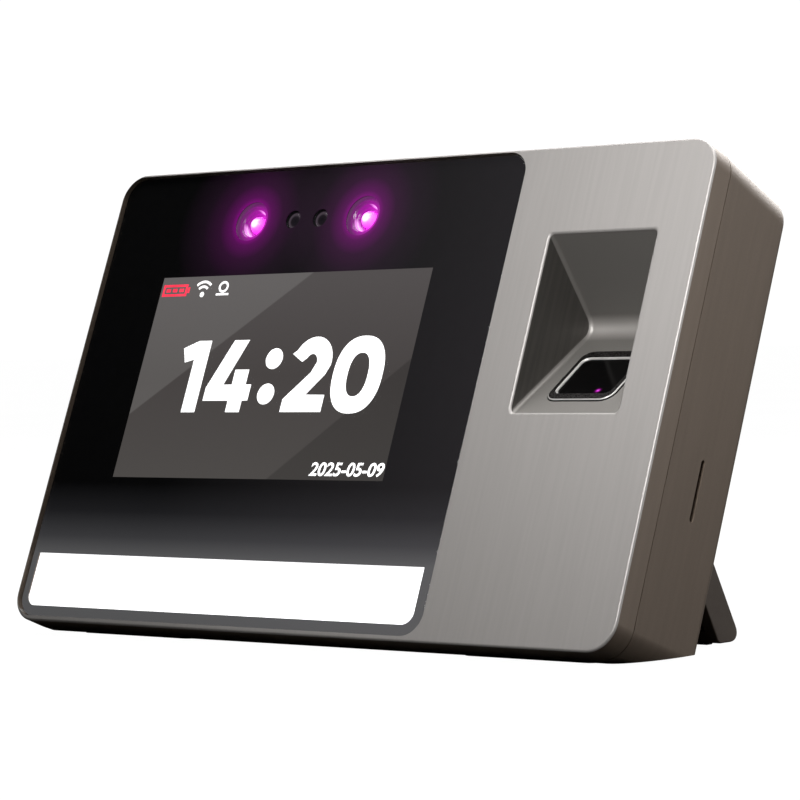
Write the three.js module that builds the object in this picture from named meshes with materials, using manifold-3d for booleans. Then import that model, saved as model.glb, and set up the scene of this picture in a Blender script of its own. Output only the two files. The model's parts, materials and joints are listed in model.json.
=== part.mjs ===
// Desk-top fingerprint terminal: a leaning face with a glass-covered display on the left, a finger well on
// the right, and a folding stand behind. Millimetres, +Z up, the face looks along -Y.
//
// Pieces are laid out in the leaning frame of the face: x runs across it from its left edge (u), y runs back
// into the body from its front surface (d), and z runs up it from its lower edge (v).

import * as THREE from 'three';
import { mergeVertices } from 'three/addons/utils/BufferGeometryUtils.js';
import Module from 'manifold-3d';

const wasm = await Module();
wasm.setup();

// ---------------------------------------------------------------- driving dimensions

const TILT = THREE.MathUtils.degToRad(22); // the face leans back from upright
const DRAFT = Math.tan(THREE.MathUtils.degToRad(3)); // taper of the rear housing
const GAP = 0.3; // between pieces that rest on each other
const FILM = 0.1; // between laminated layers

const FACE = { width: 198, height: 128, radius: 7.5, bevel: 0.5 };
const SEAM = 6.8; // depth of the front casing
const DEPTH = 36; // front surface to back surface
const REAR_ROUND = 3;
const WALL = 2.2;
const DESK_Z = -4.107; // desk below the lower front edge
const BASE_Z = -3.505; // underside of housing and foot; the pads stand out of it to the desk

const GLASS = { left: 0.7, right: 140.8, bottom: 1.4, top: 127.3, radius: 6, front: 0.1, thick: 1.1 };
const MASK = { front: GLASS.front + GLASS.thick + FILM, thick: 0.3 };
const PLATE = { front: 1.9, back: 3.9 }; // carrier wall behind the glass
const SCREEN = { u: 69.95, v: 69.2, width: 94.3, height: 56.9, cell: [105.4, 67.2] };
const STRIP = { left: 2.7, right: 136.8, bottom: 4.5, top: 19.15, radius: 3.3 };
const EYES = { u: 69.6, v: 112.95, lampPitch: 39, cameraPitch: 9.5, lampRing: 5.6, barrel: 3.3, lens: 2.35 };

const WELL = {
  left: 153.1, right: 185.2, top: 105.2, bottom: 57.3,
  topSlope: 0.7866, ledgeSlope: 1.4016, draft: 0.123, valley: 4.2, wall: 1.6,
};
const LEDGE_LEAN = Math.atan(1 / WELL.ledgeSlope); // ledge surface from the plane of the face
const SENSOR = { u: 169.4, t: 16.95, width: 19.8, height: 21.1, radius: 3.4 }; // t runs up the ledge
const PLATEN = { left: 161.45, right: 177.35, low: 9.45, high: 24, radius: 1.8 };

const RECESS = { left: 11, right: 187, top: 50.3, floor: 27 };
const HINGE = { d: 31.55, v: 45.66, barrel: 4.15, pin: 1.5 };
const LEG = { open: Math.asin(0.779), side: 1, plate: 2.4, flange: 3, ribs: 2 };

const SLIT = { d: 20.7, low: 38.3, high: 53.8, width: 1.6 };
const JACK = { u: 100, v: 66 };
const USB = { u: 118, v: 66 };
const KEY = { u: 134, v: 66, radius: 2.8 };
const IO_BOARD = { left: 92, right: 140, bottom: 55, top: 77, front: 20.7, back: 21.9 };
const MAIN_BOARD = { left: 10, right: 132, bottom: 40, top: 100, front: 9.5, back: 11.1 };

const POST_MEET = 18; // where casing posts and housing posts meet
const CASE_SCREWS = [
  { u: 10, v: 118, seat: 31.3 },
  { u: 188, v: 118, seat: 31.3 },
  { u: 20, v: 28, seat: 24.7 },
  { u: 178, v: 28, seat: 24.7 },
];
const BOARD_SCREWS = [[13, 45], [129, 45], [13, 95], [129, 95]];
const IO_PEGS = [[94.8, 58], [137.2, 74]];

// ---------------------------------------------------------------- materials

const finish = (color, roughness, metalness = 0, extra = {}) =>
  new THREE.MeshStandardMaterial({ color, roughness, metalness, flatShading: true, ...extra });

const MATERIAL = {
  silver: finish(0xaba8a4, 0.42, 0.55),
  taupe: finish(0x5c534a, 0.6),
  glass: finish(0x101012, 0.05, 0, { transparent: true, opacity: 0.3 }),
  blackPrint: finish(0x08080a, 0.4),
  screen: finish(0x4a4747, 0.3, 0, { emissive: 0x4a4747 }),
  lightBar: finish(0xffffff, 0.5, 0, { emissive: 0xffffff }),
  infrared: finish(0xff70ff, 0.2, 0, { emissive: 0xd010d0 }),
  darkLens: finish(0x15161a, 0.08),
  blackPlastic: finish(0x131316, 0.5),
  platen: finish(0x020203, 0.06),
  gunmetal: finish(0x3a3a3c, 0.3, 0.8),
  board: finish(0x1d4a35, 0.55),
  steel: finish(0xb4b6b8, 0.3, 0.9),
  rubber: finish(0x17171a, 0.85),
  foam: finish(0x222226, 0.95),
  battery: finish(0x2c4a74, 0.5),
  flex: finish(0xb37428, 0.45),
  cable: finish(0x1c1c1e, 0.55),
};

// ---------------------------------------------------------------- shaping helpers

/** A closed outline through corners [a, b, radius]; a corner with a radius is rounded by an arc. */
function outline(corners) {
  const shape = new THREE.Shape();
  const at = (i) => new THREE.Vector2(...corners[(i + corners.length) % corners.length].slice(0, 2));
  corners.forEach(([a, b, radius = 0], i) => {
    if (radius === 0) {
      shape[i === 0 ? 'moveTo' : 'lineTo'](a, b);
      return;
    }
    const corner = at(i);
    const back = at(i - 1).sub(corner).normalize();
    const ahead = at(i + 1).sub(corner).normalize();
    const half = back.angleTo(ahead) / 2;
    const centre = back.clone().add(ahead).setLength(radius / Math.sin(half)).add(corner);
    const start = back.clone().multiplyScalar(radius / Math.tan(half)).add(corner).sub(centre);
    const end = ahead.clone().multiplyScalar(radius / Math.tan(half)).add(corner).sub(centre);
    if (i > 0) shape.lineTo(centre.x + start.x, centre.y + start.y);
    shape.absarc(centre.x, centre.y, radius, start.angle(), end.angle(), back.cross(ahead) > 0);
  });
  return shape;
}

const rectangle = (left, bottom, right, top, radius = 0) =>
  outline([[left, bottom, radius], [right, bottom, radius], [right, top, radius], [left, top, radius]]);

const disc = (a, b, radius) => new THREE.Shape().absarc(a, b, radius, 0, 2 * Math.PI);

/** The outline with each of the holes let into it. */
function pierced(shape, ...holes) {
  shape.holes.push(...holes);
  return shape;
}

/** An outline in (u, v) given thickness from depth front to depth back. */
function plate(shape, front, back, curveSegments = 3, steps = 1) {
  const options = { depth: back - front, bevelEnabled: false, curveSegments, steps };
  return new THREE.ExtrudeGeometry(shape, options).rotateX(Math.PI / 2).translate(0, back, 0);
}

/** A profile in (d, v) drawn out across the face from left to right. */
function bar(shape, left, right, curveSegments = 3) {
  const across = new THREE.Matrix4().makeBasis(
    new THREE.Vector3(0, 1, 0),
    new THREE.Vector3(0, 0, 1),
    new THREE.Vector3(1, 0, 0),
  );
  const options = { depth: right - left, bevelEnabled: false, curveSegments };
  return new THREE.ExtrudeGeometry(shape, options).applyMatrix4(across).translate(left, 0, 0);
}

/** A plain block between two values of u, d and v. */
function block([left, right], [front, back], [bottom, top]) {
  return new THREE.BoxGeometry(right - left, back - front, top - bottom)
    .translate((left + right) / 2, (front + back) / 2, (bottom + top) / 2);
}

/** A round post along the depth. */
const post = (u, v, radius, front, back, sides = 16) =>
  new THREE.CylinderGeometry(radius, radius, back - front, sides).translate(u, (front + back) / 2, v);

/** A turned piece about the depth axis; the profile is a list of [radius, depth]. */
const turned = (profile, u, v, sides = 20) =>
  new THREE.LatheGeometry(profile.map(([r, d]) => new THREE.Vector2(r, d)), sides).translate(u, 0, v);

/** Arc of a dome in [radius, depth], from its tip back to its rim. */
function dome(radius, tip, height, steps = 4) {
  return Array.from({ length: steps + 1 }, (_, i) => {
    const turn = (i / steps) * (Math.PI / 2);
    return [radius * Math.sin(turn), tip + height * (1 - Math.cos(turn))];
  });
}

/** A block of rounded section about the middle of the face that shrinks by stations [depth, inset]. */
function taperedBlock(stations) {
  const { width, height, radius } = FACE;
  const steps = stations.length - 1;
  const section = rectangle(-width / 2, -height / 2, width / 2, height / 2, radius);
  const geometry = plate(section, 0, steps, 4, steps);
  const place = geometry.getAttribute('position');
  const core = new THREE.Vector2(width / 2 - radius, height / 2 - radius);
  for (let i = 0; i < place.count; i += 1) {
    const [depth, inset] = stations[Math.round(place.getY(i))];
    const edge = new THREE.Vector2(place.getX(i), place.getZ(i));
    const inward = edge.clone().clamp(core.clone().negate(), core).sub(edge).multiplyScalar(inset / radius);
    edge.add(inward);
    place.setXYZ(i, edge.x + width / 2, depth, edge.y + height / 2);
  }
  return geometry;
}

/** A flat flexible cable of thin strip that follows points [d, v], between two values of u. */
function ribbon(points, left, right, thick = 0.25, steps = 12) {
  const path = new THREE.CatmullRomCurve3(points.map(([d, v]) => new THREE.Vector3(d, v, 0)));
  const near = [];
  const far = [];
  for (let i = 0; i <= steps; i += 1) {
    const p = path.getPoint(i / steps);
    const along = path.getTangent(i / steps);
    near.push([p.x, p.y]);
    far.unshift([p.x - along.y * thick, p.y + along.x * thick]);
  }
  return bar(outline([...near, ...far]), left, right);
}

/** A round lead through points [u, d, v]. */
function lead(points, radius = 0.9, steps = 14) {
  const extrudePath = new THREE.CatmullRomCurve3(points.map((p) => new THREE.Vector3(...p)));
  return new THREE.ExtrudeGeometry(disc(0, 0, radius), { extrudePath, steps, curveSegments: 4 });
}

/** A shape given level with the desk, turned into the leaning frame of the face. */
const fromDesk = (geometry) => geometry.rotateX(TILT);

/** A closed geometry as a solid that can be joined and cut. */
function solid(geometry) {
  const bare = new THREE.BufferGeometry();
  bare.setAttribute('position', geometry.getAttribute('position'));
  bare.setIndex(geometry.getIndex());
  const merged = mergeVertices(bare, 1e-4);
  const corners = merged.getIndex().array;
  const kept = [];
  for (let i = 0; i < corners.length; i += 3) {
    const [a, b, c] = corners.slice(i, i + 3);
    if (a !== b && b !== c && c !== a) kept.push(a, b, c);
  }
  const vertProperties = new Float32Array(merged.getAttribute('position').array);
  return new wasm.Manifold(new wasm.Mesh({ numProp: 3, vertProperties, triVerts: new Uint32Array(kept) }));
}

const asSolid = (shape) => (shape.isBufferGeometry ? solid(shape) : shape);
const join = (first, ...rest) => rest.reduce((whole, piece) => whole.add(asSolid(piece)), asSolid(first));
const cut = (first, ...tools) => tools.reduce((left, tool) => left.subtract(asSolid(tool)), asSolid(first));

function asGeometry(shape) {
  if (shape.isBufferGeometry) return shape;
  const { vertProperties, triVerts } = shape.getMesh();
  const geometry = new THREE.BufferGeometry();
  geometry.setAttribute('position', new THREE.BufferAttribute(vertProperties, 3));
  geometry.setIndex(new THREE.BufferAttribute(triVerts, 1));
  geometry.computeVertexNormals();
  return geometry;
}

// ---------------------------------------------------------------- frames

const terminal = new THREE.Group();
const face = new THREE.Group();
face.rotation.x = -TILT;
face.position.x = -FACE.width / 2;
terminal.add(face);

const desk = new THREE.Group();
desk.position.x = -FACE.width / 2;
terminal.add(desk);

const ledge = new THREE.Group(); // y goes into the ledge from its surface, z up along it
ledge.position.z = WELL.bottom;
ledge.rotation.x = -LEDGE_LEAN;
face.add(ledge);

const leg = new THREE.Group(); // about the hinge: z up along the leg, y out of its back
leg.position.set(0, HINGE.d, HINGE.v);
leg.rotation.x = LEG.open;
face.add(leg);

function add(name, shape, material, parent = face) {
  const mesh = new THREE.Mesh(asGeometry(shape), material);
  mesh.name = name;
  parent.add(mesh);
}

// ---------------------------------------------------------------- front casing

/** The finger well as a block: the space itself, or with a wall, the tub around it. */
function wellBlock(wall, front) {
  const top = (d) => WELL.top - WELL.topSlope * d + wall * Math.hypot(1, WELL.topSlope);
  const floor = (d) => WELL.bottom + WELL.ledgeSlope * d - wall * Math.hypot(1, WELL.ledgeSlope);
  const deep = (top(0) - floor(0)) / (WELL.topSlope + WELL.ledgeSlope);
  const valley = [deep, top(deep), WELL.valley + wall];
  const geometry = bar(outline([[front, floor(front)], valley, [front, top(front)]]), -1, 1);
  const place = geometry.getAttribute('position');
  const middle = (WELL.left + WELL.right) / 2;
  const half = (WELL.right - WELL.left) / 2 + wall;
  for (let i = 0; i < place.count; i += 1) {
    const side = Math.sign(place.getX(i));
    place.setX(i, middle + side * (half - WELL.draft * place.getY(i)));
  }
  return geometry;
}

const bezelOutline = (grow) => rectangle(
  SENSOR.u - SENSOR.width / 2 - grow,
  SENSOR.t - SENSOR.height / 2 - grow,
  SENSOR.u + SENSOR.width / 2 + grow,
  SENSOR.t + SENSOR.height / 2 + grow,
  SENSOR.radius + grow,
);

const stripOutline = (grow) => outline([
  [STRIP.left - grow, STRIP.bottom - grow, STRIP.radius + grow],
  [STRIP.right + grow, STRIP.bottom - grow, STRIP.radius + grow],
  [STRIP.right + grow, STRIP.top + grow],
  [STRIP.left - grow, STRIP.top + grow],
]);

const glassOutline = (grow) =>
  rectangle(GLASS.left - grow, GLASS.bottom - grow, GLASS.right + grow, GLASS.top + grow, GLASS.radius + grow);

const screenOutline = (width, height) => rectangle(
  SCREEN.u - width / 2,
  SCREEN.v - height / 2,
  SCREEN.u + width / 2,
  SCREEN.v + height / 2,
);

function frontCasing() {
  const { bevel } = FACE;
  const outer = taperedBlock([[0, bevel], [bevel * 0.3, bevel * 0.3], [bevel, 0], [SEAM, 0]]);
  const inset = (left, front) =>
    plate(rectangle(left, WALL, FACE.width - WALL, FACE.height - WALL, FACE.radius - WALL), front, SEAM + 1);
  const hollow = join(inset(WALL, PLATE.back), inset(GLASS.right + WALL, WALL));
  const posts = CASE_SCREWS.map(({ u, v }) => post(u, v, 3.4, PLATE.front, POST_MEET));
  const boardPosts = BOARD_SCREWS.map(([u, v]) => post(u, v, 2.6, PLATE.back - 1, MAIN_BOARD.front - GAP));
  const shell = join(cut(outer, hollow), wellBlock(WELL.wall, 1), ...posts, ...boardPosts);

  const through = [PLATE.front - 3, PLATE.back + 1];
  const [cellWidth, cellHeight] = SCREEN.cell;
  const eyes = [-1, 1].flatMap((side) => [
    post(EYES.u + side * EYES.lampPitch / 2, EYES.v, EYES.lampRing + GAP, ...through, 24),
    post(EYES.u + side * EYES.cameraPitch / 2, EYES.v, EYES.barrel + GAP, ...through),
  ]);
  const pilots = CASE_SCREWS.map(({ u, v }) => post(u, v, 1.35, 9, POST_MEET + 1, 12));
  const boardPilots = BOARD_SCREWS.map(([u, v]) => post(u, v, 0.95, 4.5, MAIN_BOARD.front, 12));
  const sensorHole = plate(bezelOutline(0.25), -2, WELL.wall + 2)
    .rotateX(-LEDGE_LEAN)
    .translate(0, 0, WELL.bottom);
  return cut(
    shell,
    plate(glassOutline(0.1), -1, PLATE.front),
    plate(screenOutline(cellWidth + 0.8, cellHeight + 0.8), ...through),
    plate(stripOutline(0.5), ...through),
    wellBlock(0, -2),
    sensorHole,
    ...eyes,
    ...pilots,
    ...boardPilots,
  );
}

// ---------------------------------------------------------------- rear housing

const housingInset = (d) => (d - SEAM) * DRAFT;

/** Everything below a level that is parallel to the desk. */
const below = (level) => {
  const reach = 60;
  return fromDesk(block([-reach, FACE.width + reach], [-reach, 3 * reach], [level - reach, level]));
};

const PADS = [[14, 54], [144, 184]].map(([left, right]) => ({ left, right, front: 12.5, back: 23.5 }));
const padOutline = ({ left, right, front, back }, grow = 0) =>
  rectangle(left - grow, front - grow, right + grow, back + grow, 2.5 + grow);
const rise = (shape, low, high) =>
  new THREE.ExtrudeGeometry(shape, { depth: high - low, bevelEnabled: false, curveSegments: 3 })
    .translate(0, 0, low);

function rearHousing() {
  const start = SEAM + GAP;
  const rim = DEPTH - REAR_ROUND;
  const rounding = Array.from({ length: 5 }, (_, i) => {
    const turn = (i / 4) * (Math.PI / 2);
    const inset = housingInset(rim) + REAR_ROUND * (1 - Math.cos(turn));
    return [rim + REAR_ROUND * Math.sin(turn), inset];
  });
  const outer = taperedBlock([[start, housingInset(start)], ...rounding]);

  const backWall = DEPTH - WALL;
  const inner = taperedBlock([
    [SEAM - 1, WALL],
    [backWall - 2, WALL + housingInset(backWall - 2)],
    [backWall, WALL + housingInset(backWall) + 2],
  ]);
  const recessWalls = block(
    [RECESS.left - WALL, RECESS.right + WALL],
    [RECESS.floor - WALL, DEPTH + 5],
    [-30, RECESS.top + WALL],
  );
  const shell = cut(outer, cut(inner, below(BASE_Z + WALL), recessWalls));

  // a lip reaches forward inside the casing's skirt, so the seam doesn't show daylight
  const ring = (out, front, back) => {
    const frame = (inset) =>
      rectangle(inset, inset, FACE.width - inset, FACE.height - inset, FACE.radius - inset);
    return plate(pierced(frame(out), frame(WALL + 1.5)), front, back);
  };
  const posts = CASE_SCREWS.map(({ u, v, seat }) => post(u, v, 3.9, POST_MEET + GAP, seat + 3));
  const ioPosts = IO_PEGS.flatMap(([u, v]) => [
    post(u, v, 2.4, IO_BOARD.back + GAP, backWall + 1),
    post(u, v, 1.1, IO_BOARD.front - 1, IO_BOARD.back + 1, 12),
  ]);
  const built = join(shell, ring(1.5, start, SEAM + 1.8), ring(WALL + GAP, 5, start + 0.5), ...posts, ...ioPosts);

  const clearance = CASE_SCREWS.flatMap(({ u, v, seat }) => [
    post(u, v, 1.6, POST_MEET - 1, seat + 1),
    post(u, v, 3.0, seat, DEPTH + 2, 20),
  ]);
  const recess = block([RECESS.left, RECESS.right], [RECESS.floor, DEPTH + 5], [-30, RECESS.top]);
  const pinHoles = bar(disc(HINGE.d, HINGE.v, HINGE.pin + 0.1), RECESS.left - 4, RECESS.right + 4, 8);
  const end = SLIT.width / 2;
  const slit = bar(rectangle(SLIT.d - end, SLIT.low, SLIT.d + end, SLIT.high, end * 0.98), 190, 200);
  const pockets = PADS.map((pad) => fromDesk(rise(padOutline(pad, GAP), BASE_Z - 5, BASE_Z + 0.6)));
  return cut(
    built,
    below(BASE_Z),
    recess,
    pinHoles,
    slit,
    post(JACK.u, JACK.v, 4.5, backWall - 2, DEPTH + 1, 20),
    block([USB.u - 7, USB.u + 7], [backWall - 2, DEPTH + 1], [USB.v - 3.3, USB.v + 3.3]),
    post(KEY.u, KEY.v, KEY.radius + GAP, backWall - 2, DEPTH + 1, 20),
    ...clearance,
    ...pockets,
  );
}

// ---------------------------------------------------------------- display side

function displaySide() {
  const glassBack = GLASS.front + GLASS.thick;
  add('cover_glass', plate(glassOutline(0), GLASS.front, glassBack, 5), MATERIAL.glass);

  const windows = [screenOutline(SCREEN.width, SCREEN.height), stripOutline(0)];
  for (const side of [-1, 1]) {
    windows.push(disc(EYES.u + side * EYES.lampPitch / 2, EYES.v, EYES.lampRing));
    windows.push(disc(EYES.u + side * EYES.cameraPitch / 2, EYES.v, EYES.lens + 0.2));
  }
  const mask = pierced(glassOutline(-0.2), ...windows);
  add('glass_mask', plate(mask, MASK.front, MASK.front + MASK.thick, 5), MATERIAL.blackPrint);

  const cell = screenOutline(...SCREEN.cell);
  add('display_panel', plate(cell, PLATE.front, 3.3), MATERIAL.screen);
  add('display_backlight', plate(screenOutline(...SCREEN.cell), 3.6, 5.6), MATERIAL.steel);

  add('light_bar_diffuser', plate(stripOutline(0.2), PLATE.front, 4.6), MATERIAL.lightBar);
  add('light_bar_board', lightBarBoard(), MATERIAL.board);
}

/** A narrow board with a row of small lamps facing the diffuser. */
function lightBarBoard() {
  const board = block([STRIP.left + 1.9, STRIP.right - 0.8], [5.5, 6.7], [5.6, 18.4]);
  const count = 16;
  const pitch = 8.2;
  const lamps = Array.from({ length: count }, (_, i) => {
    const u = (STRIP.left + STRIP.right) / 2 + (i - (count - 1) / 2) * pitch;
    return block([u - 1.7, u + 1.7], [4.9, 5.8], [10.4, 13.2]);
  });
  return join(board, ...lamps);
}

// ---------------------------------------------------------------- cameras and infrared lamps

function eyes() {
  for (const [side, hand] of [[-1, 'left'], [1, 'right']]) {
    const lamp = EYES.u + side * EYES.lampPitch / 2;
    const ring = [[4.4, PLATE.front], [EYES.lampRing, PLATE.front], [EYES.lampRing, 5.6], [2.75, 5.6]];
    add(`ir_ring_${hand}`, turned([...ring, ring[0]], lamp, EYES.v, 24), MATERIAL.blackPlastic);

    const bulb = [...dome(2.4, 2.3, 2.4), [2.4, 6.3], [2.9, 6.3], [2.9, 7.2], [0, 7.2]];
    add(`ir_lamp_${hand}`, turned(bulb, lamp, EYES.v), MATERIAL.infrared);

    const camera = EYES.u + side * EYES.cameraPitch / 2;
    const body = join(
      block([camera - 4.2, camera + 4.2], [4.2, 7.2], [EYES.v - 4.2, EYES.v + 4.2]),
      post(camera, EYES.v, EYES.barrel, PLATE.front, 5),
    );
    const pocket = post(camera, EYES.v, EYES.lens + 0.2, 1, 3.05);
    add(`camera_body_${hand}`, cut(body, pocket), MATERIAL.blackPlastic);

    const lens = [...dome(EYES.lens, 1.75, 0.7), [EYES.lens, 2.75], [0, 2.75]];
    add(`camera_lens_${hand}`, turned(lens, camera, EYES.v), MATERIAL.darkLens);
  }
  const board = rectangle(EYES.u - 27, EYES.v - 7.8, EYES.u + 27, EYES.v + 7.8, 2);
  add('camera_board', plate(board, 7.5, 8.7), MATERIAL.board);
}

// ---------------------------------------------------------------- fingerprint sensor

function sensor() {
  const platenOutline = (grow) =>
    rectangle(
      PLATEN.left - grow,
      PLATEN.low - grow,
      PLATEN.right + grow,
      PLATEN.high + grow,
      PLATEN.radius + grow,
    );
  const bezel = plate(pierced(bezelOutline(0), platenOutline(0.15)), -0.5, 2.6, 4);
  add('fingerprint_bezel', bezel, MATERIAL.gunmetal, ledge);
  add('fingerprint_glass', plate(platenOutline(0), 0, 2.2, 4), MATERIAL.platen, ledge);

  const half = { width: 9.2, height: 10 };
  const spot = { u: 173.2, t: 10.8 };
  const across = [SENSOR.u - half.width, SENSOR.u + half.width];
  const along = [SENSOR.t - half.height, SENSOR.t + half.height];
  const module = cut(block(across, [2.9, 12], along), post(spot.u, spot.t, 1.2, 2, 5, 12));
  add('fingerprint_module', module, MATERIAL.blackPlastic, ledge);
  const lamp = turned([...dome(0.8, 2.5, 0.8, 3), [0.8, 4.7], [0, 4.7]], spot.u, spot.t, 12);
  add('sensor_lamp', lamp, MATERIAL.infrared, ledge);

  const chip = block([SENSOR.u - 4, SENSOR.u + 4], [13.2, 14.4], [SENSOR.t - 6, SENSOR.t + 2]);
  const board = block([SENSOR.u - 10, SENSOR.u + 10], [12.3, 13.5], [SENSOR.t - 10.5, SENSOR.t + 10.5]);
  add('fingerprint_board', join(board, chip), MATERIAL.board, ledge);
}

// ---------------------------------------------------------------- boards, ports and key

/** Cross-head screw along the depth: its tip, and the seat that its head rests on. */
function screw(u, v, tip, seat, shank, head) {
  const height = head * 0.7;
  const profile = [
    [0, tip], [shank * 0.4, tip], [shank, tip + shank], [shank, seat],
    [head, seat], [head, seat + height * 0.7], [head * 0.8, seat + height], [0, seat + height],
  ];
  const reach = head * 0.6;
  const slot = head * 0.14;
  const depth = [seat + height * 0.35, seat + height + 1];
  return cut(
    turned(profile, u, v, 16),
    block([u - reach, u + reach], depth, [v - slot, v + slot]),
    block([u - slot, u + slot], depth, [v - reach, v + reach]),
  );
}

function mainBoard() {
  const { left, right, bottom, top, front, back } = MAIN_BOARD;
  const board = join(
    block([left, right], [front, back], [bottom, top]),
    block([30, 44], [back - 0.5, back + 1.2], [46, 58]),
    block([92, 108], [back - 0.5, back + 1.1], [80, 92]),
    block([56, 78], [back - 0.5, back + 1.8], [43.5, 48]),
    block([19, 24], [back - 0.5, back + 3], [66, 82]),
  );
  add('main_board', cut(board, ...BOARD_SCREWS.map(([u, v]) => post(u, v, 1.4, front - 1, back + 1, 12))),
    MATERIAL.board);
  BOARD_SCREWS.forEach(([u, v], i) => {
    add(`board_screw_${i + 1}`, screw(u, v, 5, back + 0.2, 0.8, 2.2), MATERIAL.steel);
  });
  const can = cut(block([55, 85], [back + GAP, 14.4], [60, 85]), block([55.6, 84.4], [back, 13.8], [60.6, 84.4]));
  add('shield_can', can, MATERIAL.steel);
}

function ports() {
  const { left, right, bottom, top, front, back } = IO_BOARD;
  const pegHoles = IO_PEGS.map(([u, v]) => post(u, v, 1.4, front - 1, back + 1, 12));
  add('io_board', cut(block([left, right], [front, back], [bottom, top]), ...pegHoles), MATERIAL.board);

  const seat = back + GAP;
  const mouth = DEPTH - 0.2;
  const jack = join(
    block([JACK.u - 4.5, JACK.u + 4.5], [seat, 33.3], [JACK.v - 5, JACK.v + 5]),
    post(JACK.u, JACK.v, 4.1, 33, mouth, 24),
  );
  const bored = cut(jack, post(JACK.u, JACK.v, 3.1, 26.5, DEPTH + 1, 24));
  add('power_jack', join(bored, post(JACK.u, JACK.v, 0.95, 26, mouth - 1, 12)), MATERIAL.blackPlastic);

  const shell = cut(
    block([USB.u - 6.6, USB.u + 6.6], [seat, mouth], [USB.v - 2.9, USB.v + 2.9]),
    block([USB.u - 6.1, USB.u + 6.1], [26, DEPTH + 1], [USB.v - 2.4, USB.v + 2.4]),
  );
  const tongue = block([USB.u - 5.5, USB.u + 5.5], [25, mouth - 1], [USB.v - 0.2, USB.v + 1.6]);
  add('usb_port', join(shell, tongue), MATERIAL.steel);

  const backWall = DEPTH - WALL;
  const cap = [
    [0, backWall - 1.6], [KEY.radius + 0.9, backWall - 1.6], [KEY.radius + 0.9, backWall - 0.6],
    [KEY.radius, backWall - 0.6], [KEY.radius, DEPTH - 0.2], [KEY.radius - 0.4, DEPTH + 0.2], [0, DEPTH + 0.2],
  ];
  add('power_key', turned(cap, KEY.u, KEY.v), MATERIAL.blackPlastic);
  const body = block([KEY.u - 3, KEY.u + 3], [seat, 29.5], [KEY.v - 3, KEY.v + 3]);
  add('key_switch', join(body, post(KEY.u, KEY.v, 1.6, 29, 31.1)), MATERIAL.blackPlastic);
}

// ---------------------------------------------------------------- speaker, battery, aerial and leads

function inside() {
  const box = rectangle(13, 34, 24.3, 58, 2.5);
  const dish = bar(rectangle(15, 36, 22.3, 56, 3.4), 190.8, 193);
  add('speaker', cut(bar(box, 186, 192), dish), MATERIAL.blackPlastic);
  const gasket = pierced(rectangle(14, 34.5, 23.9, 57.5, 2.5), rectangle(17.5, 36.5, 22.3, 55.5, 2));
  add('speaker_gasket', bar(gasket, 192.3, 194.5), MATERIAL.foam);

  add('battery_pack', bar(rectangle(25, 58, 33.3, 92, 3), 24, 74), MATERIAL.battery);
  add('wifi_antenna', block([40, 84], [14, 22], [124, 124.6]), MATERIAL.flex);

  add('display_ribbon', ribbon([[5.9, 66], [6.1, 56], [7.4, 53.6], [8.6, 56], [8.8, 66]], 60, 80), MATERIAL.flex);
  add('camera_ribbon', ribbon([[9.1, 114], [9.2, 107], [12, 102], [12.6, 98], [11.6, 94]], 66, 76), MATERIAL.flex);
  add('io_ribbon', ribbon([[11.7, 66], [12.2, 58], [16, 54.5], [19.8, 58], [20.2, 66]], 112, 126), MATERIAL.flex);

  add('sensor_cable', lead([[169.4, 23, 61.5], [163, 25, 58], [152, 22, 54], [141, 15.5, 55], [131, 12.6, 58]]),
    MATERIAL.cable);
  add('speaker_cable', lead([[184.6, 19, 46], [172, 18, 47], [156, 17, 45], [142, 13.5, 46], [132.5, 12.5, 50]]),
    MATERIAL.cable);
  add('light_bar_cable', lead([[126, 8.2, 12], [126, 11, 18], [124, 13, 30], [120, 12.6, 43]]), MATERIAL.cable);
  add('battery_cable', lead([[50, 29, 56.6], [58, 23.5, 55.5], [66, 16, 53], [82, 12.6, 52]]), MATERIAL.cable);
  add('antenna_lead', lead([[50, 12.4, 96], [52, 15, 104], [60, 17, 114], [62, 18, 123.2]], 0.6), MATERIAL.cable);
}

// ---------------------------------------------------------------- stand

/** Height along the leg where its foot meets the level of the housing's underside. */
function footHeight(y) {
  const turn = LEG.open - TILT;
  const hinge = HINGE.v * Math.cos(TILT) - HINGE.d * Math.sin(TILT);
  return (BASE_Z - hinge - y * Math.sin(turn)) / Math.cos(turn);
}

/** A strip along the foot, in the leg's frame: from and to along the sole, low and high across it. */
function soleStrip([from, to], [low, high], left, right) {
  const sole = new THREE.Vector2(2 * HINGE.barrel, footHeight(HINGE.barrel) - footHeight(-HINGE.barrel));
  sole.normalize();
  const up = new THREE.Vector2(-sole.y, sole.x);
  const heel = new THREE.Vector2(-HINGE.barrel, footHeight(-HINGE.barrel));
  const corner = (along, across) => heel.clone().addScaledVector(sole, along).addScaledVector(up, across);
  const corners = [corner(from, low), corner(to, low), corner(to, high), corner(from, high)];
  return bar(outline(corners.map(({ x, y }) => [x, y])), left, right);
}

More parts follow.
